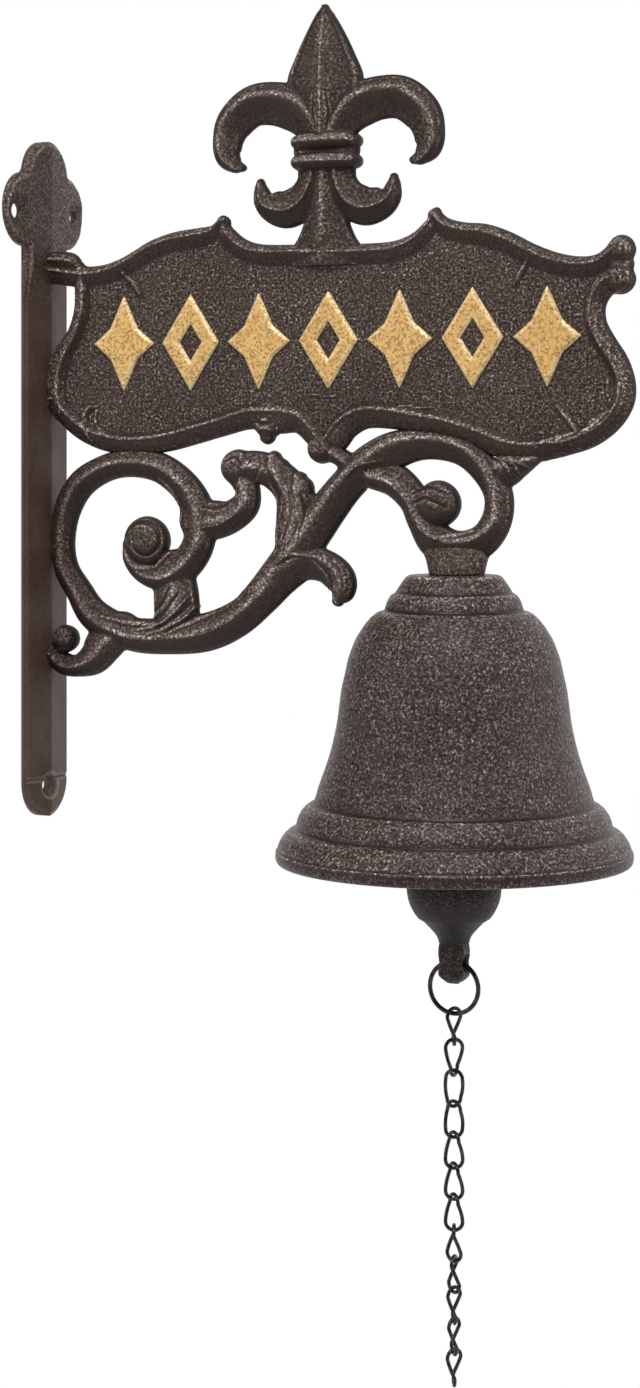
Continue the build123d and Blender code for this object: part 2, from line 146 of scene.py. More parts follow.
# How a relief's own form gives its wear with painted highlights, and its painted shade; lengths in mm, bends
# in 1 / mm
paintedLightAndWear = {
    "over": 0.5,  # distance over which the bend is measured
    "within": (0.2, 1.2),  # distances from the outline over which it comes to count
    "leastBend": 0.1,
    "mostWearAndHighlight": 0.8,
    "mostShade": 0.9,
    "down": (0.08, 0.4),  # slopes over which a face comes to look down
    "downHighlightLost": 0.6,  # painted highlight taken off there
    "downShade": 0.8,  # painted shade put on there
    "edgeShadeWidth": 0.7,  # width of the line of painted shade along the outline
}


# A relief: over the plane (u, v) it stands front(u, v) above and back(u, v) below the middle plane,
# wherever level(u, v) > 0. The grid is cut off along level = 0 and closed there by a wall whose waist
# stands out by bulge. Contour, 0 to 1, is how much painted shade its outline and its undersides get.
def relief(name, settings, shape, place, bulge=0.25, contour=0):
    cell = settings["cell"]
    u, v = (np.arange(low, high + cell, cell) for low, high in settings["span"])
    nu, nv = len(u), len(v)
    gu, gv = (g.ravel() for g in np.meshgrid(u, v, indexing="ij"))
    level = shape(gu, gv)[0]
    keep = level > 0
    index = np.arange(nu * nv).reshape(nu, nv)
    nearest, farthest = 0.06, 0.94  # where a cut may lie along a side

    # where the grid's lines cross the outline
    def crossings(first, second):
        cut = keep[first] != keep[second]
        a, b = first[cut], second[cut]
        t = np.clip(level[a] / (level[a] - level[b]), nearest, farthest)
        return cut, gu[a] + t * (gu[b] - gu[a]), gv[a] + t * (gv[b] - gv[a])

    cutU, uAlongU, vAlongU = crossings(index[:-1].ravel(), index[1:].ravel())
    cutV, uAlongV, vAlongV = crossings(index[:, :-1].ravel(), index[:, 1:].ravel())
    pu = np.concatenate([gu[keep], uAlongU, uAlongV])
    pv = np.concatenate([gv[keep], vAlongU, vAlongV])
    count, inner, cuts = len(pu), keep.sum(), cutU.sum()

    # the number of each kept point and of each cut, first those along u
    number, numberU, numberV = (np.full(flags.shape, -1) for flags in (keep, cutU, cutV))
    number[keep] = np.arange(inner)
    numberU[cutU] = inner + np.arange(cuts)
    numberV[cutV] = inner + cuts + np.arange(cutV.sum())
    number = number.reshape(nu, nv)
    numberU = numberU.reshape(nu - 1, nv)
    numberV = numberV.reshape(nu, nv - 1)
    corner = np.stack([
        number[:-1, :-1], number[1:, :-1], number[1:, 1:], number[:-1, 1:],
        numberU[:, :-1], numberV[1:, :], numberU[:, 1:], numberV[:-1, :],
    ], -1).reshape(-1, 8)
    k = keep.reshape(nu, nv)
    case = (k[:-1, :-1] * 1 + k[1:, :-1] * 2 + k[1:, 1:] * 4 + k[:-1, 1:] * 8).ravel()
    sheets = {3: [], 4: [], 5: []}
    rims = []
    for code, shapes in cellCases.items():
        cells = corner[case == code]
        for order in shapes:
            sheets[len(order)].append(cells[:, order])
            # a side that runs from cut to cut lies on the outline
            rims += [cells[:, (a, b)] for a, b in zip(order, order[1:] + order[:1]) if min(a, b) > 3]
    sheets = [np.concatenate(blocks) for blocks in sheets.values()]
    rims = np.concatenate(rims)

    # painted highlight with wear where the face bulges, painted shade in its grooves and along its outline,
    # and smooth painted shade where it looks down
    level, front, back, wear = shape(pu, pv)
    d = paintedLightAndWear["over"]
    right, left, high, low = (shape(pu + a, pv + b)[1] for a, b in ((d, 0), (-d, 0), (0, d), (0, -d)))
    bend = (right + left + high + low - 4 * front) / (d * d)
    within = ease(level, *paintedLightAndWear["within"])
    under = within * ease((high - low) / (2 * d), *paintedLightAndWear["down"])
    wear = np.clip(wear + within * np.clip(-bend - paintedLightAndWear["leastBend"], 0, paintedLightAndWear["mostWearAndHighlight"]), 0, 1)
    wear = wear * (1 - paintedLightAndWear["downHighlightLost"] * contour * under)
    edgeShade = 1 - ease(level, 0.0, paintedLightAndWear["edgeShadeWidth"])
    shade = within * np.clip(bend - paintedLightAndWear["leastBend"], 0, paintedLightAndWear["mostShade"])
    shade = np.clip(shade + contour * (paintedLightAndWear["downShade"] * under + edgeShade), 0, 1)

    # the wall, with its waist pushed out square to the outline
    border = np.arange(inner, count)
    nudge = 0.1
    slopeU = shape(pu[border] + nudge, pv[border])[0] - shape(pu[border] - nudge, pv[border])[0]
    slopeV = shape(pu[border], pv[border] + nudge)[0] - shape(pu[border], pv[border] - nudge)[0]
    size = np.hypot(slopeU, slopeV) + tiny
    middle = (front[border] - back[border]) / 2
    points = np.concatenate([
        place(pu, pv, front),
        place(pu, pv, -back),
        place(pu[border] - bulge * slopeU / size, pv[border] - bulge * slopeV / size, middle),
    ])
    waist = rims - inner + 2 * count
    walls = [
        np.stack([rims[:, 1], rims[:, 0], waist[:, 0], waist[:, 1]], 1),
        np.stack([waist[:, 1], waist[:, 0], rims[:, 0] + count, rims[:, 1] + count], 1),
    ]
    behind = [s[:, ::-1] + count for s in sheets]
    piece = newMesh(name, points, sheets + behind + walls)
    # the column holds rubbed wear together with painted highlights
    addColumn(piece, "wear", np.concatenate([wear, wear, wear[border]]))
    addColumn(piece, "shade", np.concatenate([shade, shade, shade[border]]))
    return piece


# A relief on the wall: u runs along y, and the face looks out along x
def onWallSide(u, v, w):
    return np.stack([w, u, v], 1)


# A relief on the sign's side: u runs along x, and the face looks towards -y
def onSignSide(u, v, w):
    return np.stack([u, -w, v], 1)


# How limbs, domes and marks are rounded and run together; widths in mm, the rest are shares
castForm = {
    "ridgeSoft": 0.1,  # rounding of a limb's ridge
    "lip": 0.35,  # rounding of its outline, as a share of the edge
    "lipFrom": 0.86,  # where that starts across the limb
    "outsideFall": 3.0,  # how steeply it goes down past its outline
    "limbMargin": 2.0,
    "limbFillet": 1.2,  # fillet in the outline, where limbs meet
    "limbBlend": 0.5,  # the same in the height
    "domeEdge": 0.6,  # height of a dome's foot, as a share of the edge
    "domeFillet": 0.9,
    "domeBlend": 0.4,
    "domeWear": 0.1,
    "markMargin": 0.5,
    "markWear": 0.8,
    "plateLevel": 4.0,  # how far inside the outline a plate counts as
    "leastHeight": 0.55,  # of a casting, as a share of the edge
}


# A cast limb: across its width a runs from -1 to 1, and it rises like a roof from the thin parting
# edge to a soft ridge at a = ridge: edge + (crest - edge) * (1 - slope distance) ** power, less a lip
def limbHeight(a, ridge, crest, edge, power):
    t = np.where(a > ridge, (a - ridge) / (1 - ridge), (ridge - a) / (1 + ridge))
    soft = castForm["ridgeSoft"]
    fall = (np.sqrt(t * t + soft * soft) - soft) / (math.sqrt(1 + soft * soft) - soft)
    rise = np.clip(1 - fall, 0, 1) ** power
    lip = castForm["lip"] * edge * ease(np.abs(a), castForm["lipFrom"], 1.0)
    outside = np.maximum(np.abs(a) - 1, 0)
    return edge + (crest - edge) * rise - lip - castForm["outsideFall"] * outside, rise


# All limbs, domes and marks of one casting together, with cast fillets where they meet. A limb is
# limbHeight and its beads, a dome foot + (crest - foot) * sqrt(1 - (r / radius) ** 2), and a mark
# tall * (1 - (distance / half width) ** 2) on top of what it crosses. A plate is flat inside its loop.
def castShape(u, v, parts, edge, plate, thickness):
    form = castForm
    level = np.full(u.shape, nowhere)
    height = np.full(u.shape, nowhere)
    wear = np.zeros(u.shape)
    if plate is not None:
        held = insideLoop(u, v, plate)
        level = np.where(held, form["plateLevel"], level)
        height = np.where(held, thickness, height)
    for part in parts["limbs"]:
        near = besidePath(u, v, part["path"], form["limbMargin"])
        if not near.any():
            continue
        gap, side, rest = nearPath(u[near], v[near], part["path"])
        a = side * gap / rest[:, 0]
        ridge = part["ridge"] if "ridge" in part else rest[:, 2]
        rise, shine = limbHeight(a, ridge, rest[:, 1], edge, part["power"])
        for where, width, tall in part.get("beads", ()):
            rise = rise + tall * np.exp(-(((a - where) / width) ** 2))
        level[near] = blendMax(level[near], rest[:, 0] - gap, part.get("fillet", form["limbFillet"]))
        taken = rise > height[near]
        wear[near] = np.where(taken, part.get("shine", 1.0) * shine**3, wear[near])
        height[near] = blendMax(height[near], rise, form["limbBlend"])
    for x, z, radius, crest in parts["domes"]:
        r = np.hypot(u - x, v - z)
        cap = np.sqrt(np.clip(1 - (r / radius) ** 2, 0, 1))
        foot = edge * form["domeEdge"]
        rise = np.where(r < radius, foot + (crest - foot) * cap, nowhere)
        level = blendMax(level, radius - r, form["domeFillet"])
        wear = np.where(rise > height, form["domeWear"] * cap**4, wear)
        height = blendMax(height, rise, form["domeBlend"])
    for path, tall in parts["marks"]:
        near = besidePath(u, v, path, form["markMargin"])
        if not near.any():
            continue
        gap, side, rest = nearPath(u[near], v[near], path)
        bump = np.clip(1 - (gap / rest[:, 0]) ** 2, 0, 1)
        height[near] = height[near] + tall * bump
        if tall > 0:
            wear[near] = np.maximum(wear[near], bump * form["markWear"])
    height = np.maximum(height, form["leastHeight"] * edge)
    return level, height, height, wear


# One casting on the sign's side: castShape of its limbs, domes and marks, with a smooth path for each run
# of stations, as a relief
def casting(name, settings, limbs, contour, plate=None):
    parts = {
        "limbs": [dict(limb, path=smoothPath(limb["stations"], steps=7)) for limb in limbs.values()],
        "domes": settings["domes"],
        "marks": [(smoothPath(stations, steps=5), tall) for stations, tall in settings["marks"]],
    }

    def shape(x, z):
        return castShape(x, z, parts, settings["edge"], plate, settings.get("field"))

    return relief(name, settings, shape, onSignSide, contour=contour)


# Wall strap
strap = {
    "cell": 0.5,
    "span": ((-25, 25), (-195, 25)),
    "halfWidth": 11.6,
    "barTop": 4.0,
    "footHeight": -181.3,
    "tip": (0.0, 11.1, 12.1),  # y, z and radius
    "lobe": (11.6, 0.9, 11.7),
    "lobeFillet": 2.0,
    "ridge": 4.6,  # height along the middle
    "ridgeSoft": 0.5,
    "fallNear": 0.3,  # slopes of the near and the far flank
    "fallFar": 0.055,
    "lobeFall": 0.25,  # share of the near slope that the lobes have
    "steepens": (14, 30),  # distances below the holes over which the rest of it comes
    "bevelNear": 0.25,  # depth along the bar's near edge
    "bevelMore": 0.85,  # what all other edges have on top of that
    "bevelWidth": 1.5,
    "edgeWear": 0.35,
    "edgeWearWidth": (0.1, 1.6),
    "farFlankHighlight": 0.42,
    "farFlank": (-0.2, 0.6),  # y over which the far flank's painted highlight comes
    "leastHeight": 0.9,
    "holeRadius": 2.5,
    # y, z, and the depth and radius of the countersink
    "holes": ((-17.0, 0.0, 1.2, 6.8), (17.0, 0.0, 1.2, 6.8), (0.0, -183.1, 1.6, 4.6)),
    "lump": (-12.5, -4.6, 2.0, 0.3),  # y, z, width and height of a cast lump on the near lobe
}


# Outline: the largest of a bar, a half-round foot and three discs, less the holes.
# Height: ridge - fall * |y|, with a steeper near flank below the lobes, less a bevel along the outline
# and a countersink round each hole.
def strapShape(y, z):
    s = strap
    bar = np.minimum(s["halfWidth"] - np.abs(y), np.minimum(z - s["footHeight"], s["barTop"] - z))
    foot = s["halfWidth"] - np.hypot(y, np.maximum(s["footHeight"] - z, 0))
    foot = np.where(z < s["footHeight"], foot, nowhere)
    tip = s["tip"][2] - np.hypot(y - s["tip"][0], z - s["tip"][1])
    lobe = s["lobe"][2] - np.hypot(np.abs(y) - s["lobe"][0], z - s["lobe"][1])
    level = np.maximum(np.maximum(bar, foot), blendMax(tip, lobe, s["lobeFillet"]))
    below = ease(-z, *s["steepens"])
    near = (y < 0) * (s["lobeFall"] + (1 - s["lobeFall"]) * below)
    fall = s["fallFar"] + (s["fallNear"] - s["fallFar"]) * near
    soft = s["ridgeSoft"]
    front = s["ridge"] - fall * (np.sqrt(y * y + soft * soft) - soft)
    bevel = s["bevelNear"] + s["bevelMore"] * (1 - (y < 0) * below)
    front -= bevel * (1 - ease(level, 0, s["bevelWidth"]))
    # Wear along the edges; the far flank is made lighter by a painted highlight
    wear = s["edgeWear"] * (1 - ease(level, *s["edgeWearWidth"])) * bevel
    wear += s["farFlankHighlight"] * ease(y, *s["farFlank"])
    for hy, hz, depth, radius in s["holes"]:
        r = np.hypot(y - hy, z - hz)
        level = np.minimum(level, r - s["holeRadius"])
        front -= depth * (1 - ease(r, s["holeRadius"], radius))
    ly, lz, width, tall = s["lump"]
    front += tall * np.exp(-((np.hypot(y - ly, z - lz) / width) ** 2))
    return level, np.maximum(front, s["leastHeight"]), np.zeros_like(front), np.clip(wear, 0, 1)


wallStrap = relief("wallStrap", strap, strapShape, onWallSide, bulge=0.0)

# Scrollwork; each station is x, z, half width, crest height and where the ridge lies across it
scrolls = {
    "cell": 0.42,
    "span": ((0.4, 178), (-150, -61)),
    "edge": 1.7,
    "limbs": {
        "largeScroll": {"power": 0.95, "stations": [
            (33.6, -105.5, 2.6, 3.0, -0.1), (34.2, -110.0, 3.0, 3.4, -0.1), (38.0, -114.2, 3.3, 3.8, -0.1),
            (44.8, -115.6, 4.3, 4.2, -0.1), (51.6, -112.6, 5.1, 4.2, -0.1), (56.6, -106.8, 5.1, 4.2, -0.15),
            (58.2, -99.8, 5.2, 4.2, -0.2), (56.6, -92.6, 5.0, 4.2, -0.2), (51.6, -86.2, 4.8, 4.2, -0.2),
            (43.8, -81.2, 4.6, 4.2, -0.15), (34.1, -79.8, 4.2, 4.2, -0.1), (25.0, -81.2, 4.2, 4.2, -0.05),
            (15.8, -86.2, 4.5, 4.2, 0.05), (10.4, -94.4, 4.4, 4.2, 0.15), (8.6, -104.4, 3.9, 4.2, 0.2),
            (9.8, -113.2, 4.0, 4.2, 0.1), (14.4, -120.4, 4.3, 4.2, 0.0), (20.8, -128.6, 5.1, 4.2, -0.1),
            (33.6, -133.8, 5.2, 4.2, -0.1), (48.0, -134.0, 5.6, 4.2, -0.1), (60.7, -132.4, 5.8, 4.2, 0.0),
            (71.2, -128.0, 5.5, 4.2, 0.1), (79.8, -121.3, 5.3, 4.2, 0.15), (87.0, -114.6, 5.4, 4.2, 0.3),
            (94.0, -110.4, 5.2, 4.2, 0.45), (101.2, -111.2, 4.9, 4.0, 0.45), (106.0, -114.8, 4.9, 3.6, 0.3),
            (106.8, -118.8, 4.1, 2.8, 0.1), (105.6, -121.6, 1.7, 1.8, 0.0)]},
        "stem": {"power": 0.95, "stations": [
            (76.0, -122.0, 3.6, 3.0, 0.1), (87.0, -112.6, 6.2, 4.6, 0.2), (95.6, -102.2, 6.2, 4.8, 0.2),
            (102.4, -93.4, 5.8, 4.8, 0.25), (108.6, -86.2, 5.4, 4.8, 0.3), (115.4, -80.0, 5.6, 4.6, 0.25),
            (124.6, -75.6, 5.6, 4.4, 0.4), (134.6, -74.0, 4.3, 4.2, 0.5), (145.6, -75.8, 4.0, 4.2, 0.5),
            (153.6, -81.2, 4.4, 4.2, 0.2), (158.0, -88.8, 4.3, 4.2, 0.0), (157.4, -96.6, 4.5, 4.2, 0.0),
            (152.8, -102.8, 4.8, 4.6, -0.3), (145.4, -105.4, 5.4, 4.8, -0.5),
            (138.2, -103.0, 5.6, 4.8, -0.2), (133.6, -96.6, 4.8, 4.4, 0.1), (130.6, -90.4, 4.7, 4.2, 0.2),
            (124.6, -84.8, 5.0, 4.2, 0.2), (117.0, -82.6, 4.6, 3.4, 0.2)]},
        "acanthus": {"power": 0.8, "stations": [
            (90.0, -112.0, 5.0, 3.0, 0.2), (91.6, -104.0, 7.2, 3.7, 0.2), (92.2, -97.2, 7.3, 3.7, 0.2),
            (91.2, -91.0, 6.5, 3.7, 0.1), (88.2, -86.2, 5.4, 3.7, 0.0), (82.8, -82.2, 5.0, 3.7, 0.0),
            (76.8, -80.8, 4.8, 3.9, 0.0), (71.4, -81.4, 4.6, 3.9, 0.0)]},
        "leafLobe": {"power": 0.7, "fillet": 0.5, "stations": [
            (89.4, -90.0, 2.6, 3.4, 0.0), (86.8, -84.6, 3.5, 4.3, 0.1), (84.6, -80.6, 3.7, 4.4, 0.1),
            (83.8, -78.2, 2.2, 3.4, 0.0)]},
        "leafTip": {"power": 0.7, "fillet": 0.5, "stations": [
            (93.0, -96.0, 2.8, 3.4, 0.0), (93.6, -90.4, 3.4, 4.3, 0.1), (93.2, -86.8, 3.6, 4.4, 0.1),
            (92.6, -84.6, 2.2, 3.4, 0.0)]},
        "sideCurl": {"power": 0.8, "stations": [
            (57.4, -97.4, 6.2, 3.0, -0.1), (63.6, -97.4, 5.9, 3.8, -0.1), (69.2, -96.2, 4.9, 3.9, -0.1),
            (73.8, -92.6, 4.5, 3.9, -0.1), (74.6, -88.0, 3.9, 3.9, -0.1), (72.6, -83.6, 4.2, 3.6, -0.1)]},
        "underleaf": {"power": 0.7, "stations": [
            (49.0, -113.0, 6.0, 3.0, 0.0), (49.4, -119.0, 7.3, 3.4, 0.0), (49.8, -125.0, 7.6, 3.4, 0.0),
            (49.6, -130.6, 7.4, 3.4, 0.0)]},
        "lowerScroll": {"power": 0.9, "stations": [
            (31.0, -132.0, 5.0, 3.2, 0.1), (24.6, -136.4, 6.2, 3.9, 0.1), (20.0, -141.8, 5.2, 3.9, 0.1),
            (14.2, -144.4, 3.4, 3.7, 0.1), (8.8, -143.8, 3.4, 3.3, 0.1), (5.0, -140.6, 2.8, 2.8, 0.1)]},
        "rightLeaf": {"power": 0.8, "stations": [
            (155.6, -82.6, 3.2, 3.4, 0.3), (160.4, -81.8, 4.8, 3.6, 0.3), (165.2, -80.0, 3.4, 3.3, 0.3),
            (170.6, -78.0, 1.3, 2.2, 0.3)]},
        "dropLeaf": {"power": 0.8, "stations": [
            (82.0, -66.0, 5.6, 3.0, 0.0), (81.8, -69.4, 4.4, 3.4, 0.0), (81.6, -71.4, 2.3, 2.6, 0.0)]},
        "tie": {"power": 0.8, "stations": [
            (100.6, -74.8, 3.4, 3.0, 0.0), (105.8, -77.4, 2.8, 3.4, 0.0), (111.0, -81.0, 3.0, 3.0, 0.0)]},
    },
    # x, z, radius and crest
    "domes": [
        (39.3, -104.3, 7.6, 4.9), (138.7, -91.8, 6.9, 5.0), (9.8, -135.9, 4.2, 4.2), (71.4, -81.0, 5.4, 4.6),
        (100.2, -75.2, 4.4, 4.4),
    ],
    # runs of x, z and half width, then how far the vein stands out or, with a minus, is cut in
    "marks": [
        ([(78.4, -66.4, 0.4), (81.6, -67.8, 0.9), (85.0, -66.4, 0.4)], -0.8),
        ([(79.4, -69.6, 0.4), (82.0, -68.8, 0.7), (84.2, -69.8, 0.4)], 0.5),
        ([(157.4, -77.4, 0.4), (161.0, -79.5, 0.8), (162.9, -83.2, 0.4)], 0.7),
        ([(159.6, -77.2, 0.4), (163.7, -79.8, 0.8), (165.5, -82.8, 0.4)], 0.7),
        ([(162.0, -77.6, 0.4), (165.8, -79.6, 0.7), (168.3, -80.8, 0.4)], 0.6),
        ([(32.4, -107.0, 0.5), (34.4, -111.0, 0.9), (38.0, -112.6, 1.0), (44.0, -111.5, 0.9),
          (48.5, -107.6, 0.5)], 0.6),
        ([(33.0, -103.0, 0.4), (35.6, -99.4, 0.8), (40.0, -98.2, 0.9), (44.2, -100.6, 0.9),
          (44.8, -105.6, 0.8), (41.0, -108.6, 0.7), (37.0, -107.0, 0.6), (36.4, -103.6, 0.4)], -0.8),
        ([(44.6, -84.4, 0.4), (48.8, -88.2, 0.8), (51.6, -94.0, 0.8), (52.6, -99.0, 0.4)], 0.5),
        ([(24.0, -128.2, 0.4), (35.0, -130.2, 0.8), (45.0, -130.2, 0.5)], 0.5),
        ([(37.0, -132.2, 0.5), (46.0, -130.0, 0.9), (51.0, -126.0, 0.9), (55.0, -121.6, 0.5)], 0.6),
        ([(41.0, -133.4, 0.5), (52.0, -129.6, 0.9), (57.4, -124.4, 0.5)], 0.55),
        ([(45.0, -134.2, 0.5), (58.0, -128.6, 0.9), (64.0, -126.2, 0.5)], 0.5),
        ([(38.0, -130.6, 0.4), (45.6, -127.6, 0.8), (51.6, -120.8, 0.5)], -0.5),
        ([(44.0, -131.8, 0.4), (51.0, -127.8, 0.7), (55.8, -123.6, 0.4)], -0.5),
        ([(46.0, -133.6, 0.4), (55.0, -128.6, 0.7), (60.6, -126.6, 0.4)], -0.5),
        ([(48.6, -119.0, 0.4), (46.0, -123.6, 0.8), (41.6, -127.4, 0.4)], -0.5),
        ([(102.6, -107.6, 0.4), (107.0, -112.4, 0.8), (108.4, -117.6, 0.4)], -0.5),
        ([(98.6, -108.6, 0.4), (103.4, -113.4, 0.8), (104.6, -118.6, 0.4)], -0.4),
        ([(86.6, -110.4, 0.4), (92.0, -107.6, 0.8), (99.6, -108.4, 0.5)], 0.5),
        ([(88.4, -103.0, 0.5), (91.0, -95.0, 0.9), (90.4, -88.6, 0.5)], -0.5),
        ([(94.0, -101.4, 0.5), (95.4, -94.6, 0.8), (94.4, -89.4, 0.5)], -0.5),
        ([(85.8, -97.0, 0.4), (86.6, -90.6, 0.8), (83.8, -85.4, 0.5)], -0.5),
        ([(78.4, -84.6, 0.4), (80.4, -80.6, 0.7), (79.8, -77.6, 0.4)], -0.4),
        ([(60.4, -93.4, 0.4), (65.6, -93.6, 0.8), (70.4, -90.6, 0.8), (71.4, -86.8, 0.4)], -0.5),
        ([(60.6, -99.8, 0.4), (66.4, -98.8, 0.7), (72.6, -95.4, 0.4)], 0.4),
        ([(131.6, -88.6, 0.4), (137.0, -86.8, 0.8), (143.0, -88.8, 0.4)], -0.5),
        ([(131.4, -91.8, 0.4), (136.0, -90.0, 0.8), (142.6, -92.6, 0.4)], -0.5),
        ([(110.6, -83.4, 0.4), (114.0, -80.4, 0.7), (121.6, -78.8, 0.4)], 0.4),
        ([(133.4, -98.6, 0.4), (138.6, -101.8, 0.9), (145.6, -100.8, 0.9), (151.0, -99.8, 0.4)], 0.5),
        ([(154.6, -77.6, 0.4), (156.8, -80.4, 0.7), (158.4, -84.0, 0.4)], -0.5),
        ([(158.0, -78.4, 0.4), (160.8, -79.4, 0.7), (164.4, -80.8, 0.4)], -0.5),
        ([(8.0, -138.2, 0.3), (12.2, -138.4, 0.6), (13.4, -134.8, 0.3)], -0.4),
        ([(68.6, -79.4, 0.3), (71.8, -77.8, 0.7), (74.6, -80.2, 0.3)], -0.5),
    ],
}
scrollwork = casting("scrollwork", scrolls, scrolls["limbs"], contour=1)

# Sign plate with its raised rim; each station is x, z, half width and crest height
sign = {
    "cell": 0.52,
    "span": ((0.4, 202), (-82, -1)),
    "edge": 1.3,
    "field": 1.6,
    "power": 0.8,
    "fillet": 0.8,
    "bead": (0.13, 0.45),  # width and height of the bead along the ridge
    "limbs": {
        "topLeft": {"ridge": 0.35, "stations": [
            (1.6, -18.4, 3.2, 2.2), (9.0, -19.6, 3.1, 3.2), (16.5, -20.5, 3.1, 3.6),
            (24.5, -20.0, 3.1, 3.6), (31.5, -17.8, 3.1, 3.6), (36.8, -15.2, 3.1, 3.6),
            (42.2, -12.5, 3.1, 3.6), (49.8, -10.4, 3.1, 3.6), (57.5, -9.4, 3.0, 3.6),
            (63.0, -8.2, 2.6, 3.5), (66.6, -4.9, 1.9, 3.2)]},
        "cornerStep": {"ridge": 0.3, "stations": [
            (2.0, -15.6, 3.2, 2.2), (8.0, -15.8, 3.4, 3.2), (12.0, -16.2, 3.2, 3.4),
            (14.4, -17.2, 1.8, 2.6)]},
        "topMiddle": {"ridge": 0.35, "stations": [
            (65.8, -4.0, 1.2, 2.4), (67.6, -8.6, 2.6, 3.4), (72.4, -13.0, 3.0, 3.6),
            (79.0, -15.2, 3.1, 3.6), (90.0, -15.7, 3.1, 3.6), (102.0, -16.0, 3.1, 3.6),
            (114.0, -16.1, 3.1, 3.6), (124.4, -15.6, 3.1, 3.6), (131.6, -13.0, 3.0, 3.6),
            (136.4, -8.6, 2.6, 3.4), (138.2, -4.0, 1.2, 2.4)]},
        "topRight": {"ridge": 0.35, "stations": [
            (137.4, -5.0, 1.9, 3.2), (141.0, -8.6, 2.6, 3.5), (146.8, -10.6, 3.0, 3.6),
            (153.6, -11.4, 3.1, 3.6), (160.6, -13.8, 3.1, 3.6), (168.6, -17.8, 3.1, 3.6),
            (176.8, -20.8, 3.1, 3.6), (184.6, -21.9, 3.0, 3.6), (190.6, -21.0, 3.1, 3.6),
            (195.6, -17.6, 3.3, 3.6)]},
        "right": {"ridge": -0.3, "stations": [
            (196.4, -25.6, 3.6, 3.6), (192.0, -27.0, 3.4, 3.6), (188.8, -32.2, 3.0, 3.6),
            (188.8, -38.4, 3.0, 3.6), (191.8, -44.4, 3.1, 3.6), (195.6, -50.2, 3.1, 3.6),
            (197.7, -56.4, 3.0, 3.6), (197.0, -62.0, 3.1, 3.6), (193.4, -67.2, 3.1, 3.6),
            (187.4, -71.4, 3.1, 3.6), (180.0, -73.8, 3.1, 3.6), (172.0, -75.4, 3.2, 3.6)]},
        "bottomRight": {"ridge": -0.55, "stations": [
            (178.0, -74.4, 2.6, 3.4), (168.0, -75.8, 3.4, 3.6), (159.8, -74.6, 3.4, 3.6),
            (151.6, -71.6, 3.5, 3.6), (142.6, -68.8, 3.5, 3.6), (132.0, -66.8, 3.5, 3.6),
            (123.0, -65.4, 3.6, 3.6), (114.8, -65.2, 3.8, 3.6), (108.6, -68.2, 4.0, 3.6),
            (104.8, -72.6, 4.0, 3.6), (101.8, -75.4, 2.6, 3.2)]},
        "bottomLeft": {"ridge": -0.55, "stations": [
            (100.0, -75.6, 2.4, 3.2), (97.2, -71.2, 3.0, 3.6), (92.4, -66.8, 3.6, 3.6),
            (85.2, -65.8, 4.6, 3.6), (76.0, -65.4, 3.6, 3.6), (66.7, -67.8, 3.2, 3.6),
            (57.4, -70.2, 3.2, 3.6), (47.3, -72.6, 3.2, 3.6), (36.6, -73.8, 3.1, 3.6),
            (26.0, -73.0, 3.1, 3.6), (17.6, -70.2, 3.0, 3.6), (11.4, -66.0, 3.0, 3.6),
            (6.0, -60.6, 3.0, 3.4)]},
        "left": {"ridge": 0.4, "stations": [
            (15.6, -19.4, 2.6, 3.4), (16.2, -26.0, 2.8, 3.6), (15.8, -32.4, 2.9, 3.6),
            (13.4, -39.0, 3.0, 3.6), (9.6, -44.6, 3.6, 3.6), (7.0, -51.0, 4.0, 3.6), (6.4, -57.0, 4.0, 3.6),
            (8.2, -63.0, 3.2, 3.4)]},
    },
    "domes": [
        (196.6, -17.0, 4.1, 4.1), (196.4, -25.6, 4.3, 4.1), (196.6, -21.3, 3.6, 3.1),
        (100.2, -75.2, 4.4, 4.4),
    ],
    "marks": [
        ([(20.6, -73.0, 0.5), (17.4, -67.5, 1.1), (18.6, -62.6, 0.9), (22.0, -61.8, 0.4)], 1.1),
        ([(22.0, -62.0, 0.4), (21.8, -67.6, 0.7), (25.6, -71.0, 0.5)], 0.7),
        ([(177.0, -62.6, 0.6), (181.4, -67.6, 1.1), (183.6, -70.6, 0.5)], 0.9),
        ([(193.4, -64.0, 0.7), (188.6, -67.6, 1.5), (184.6, -71.0, 0.6)], 0.9),
        ([(171.6, -73.6, 0.5), (177.6, -71.8, 1.2), (183.2, -70.4, 0.5)], 0.9),
        ([(96.8, -58.6, 0.25), (104.8, -59.2, 0.35)], 0.5),
        ([(126.6, -62.2, 0.25), (137.6, -63.0, 0.35)], 0.5),
        ([(31.6, -20.0, 0.5), (35.6, -23.6, 1.0), (37.6, -27.2, 0.4)], 0.8),
        ([(168.0, -19.4, 0.5), (165.6, -23.2, 1.0), (163.6, -26.6, 0.4)], 0.8),
    ],
}

# the field reaches to the rim's middle line, taken clockwise
signRuns = ("topLeft", "topMiddle", "topRight", "right", "bottomRight", "bottomLeft")
signLoop = [s[:2] for run in signRuns for s in sign["limbs"][run]["stations"][1:-1]]
signLoop += [s[:2] for s in sign["limbs"]["left"]["stations"][-2:0:-1]]
signLoop = np.array(signLoop)
for limb in sign["limbs"].values():
    limb.update(power=sign["power"], fillet=sign["fillet"], beads=((limb["ridge"], *sign["bead"]),))
signPlate = casting("signPlate", sign, sign["limbs"], contour=0.8, plate=signLoop)

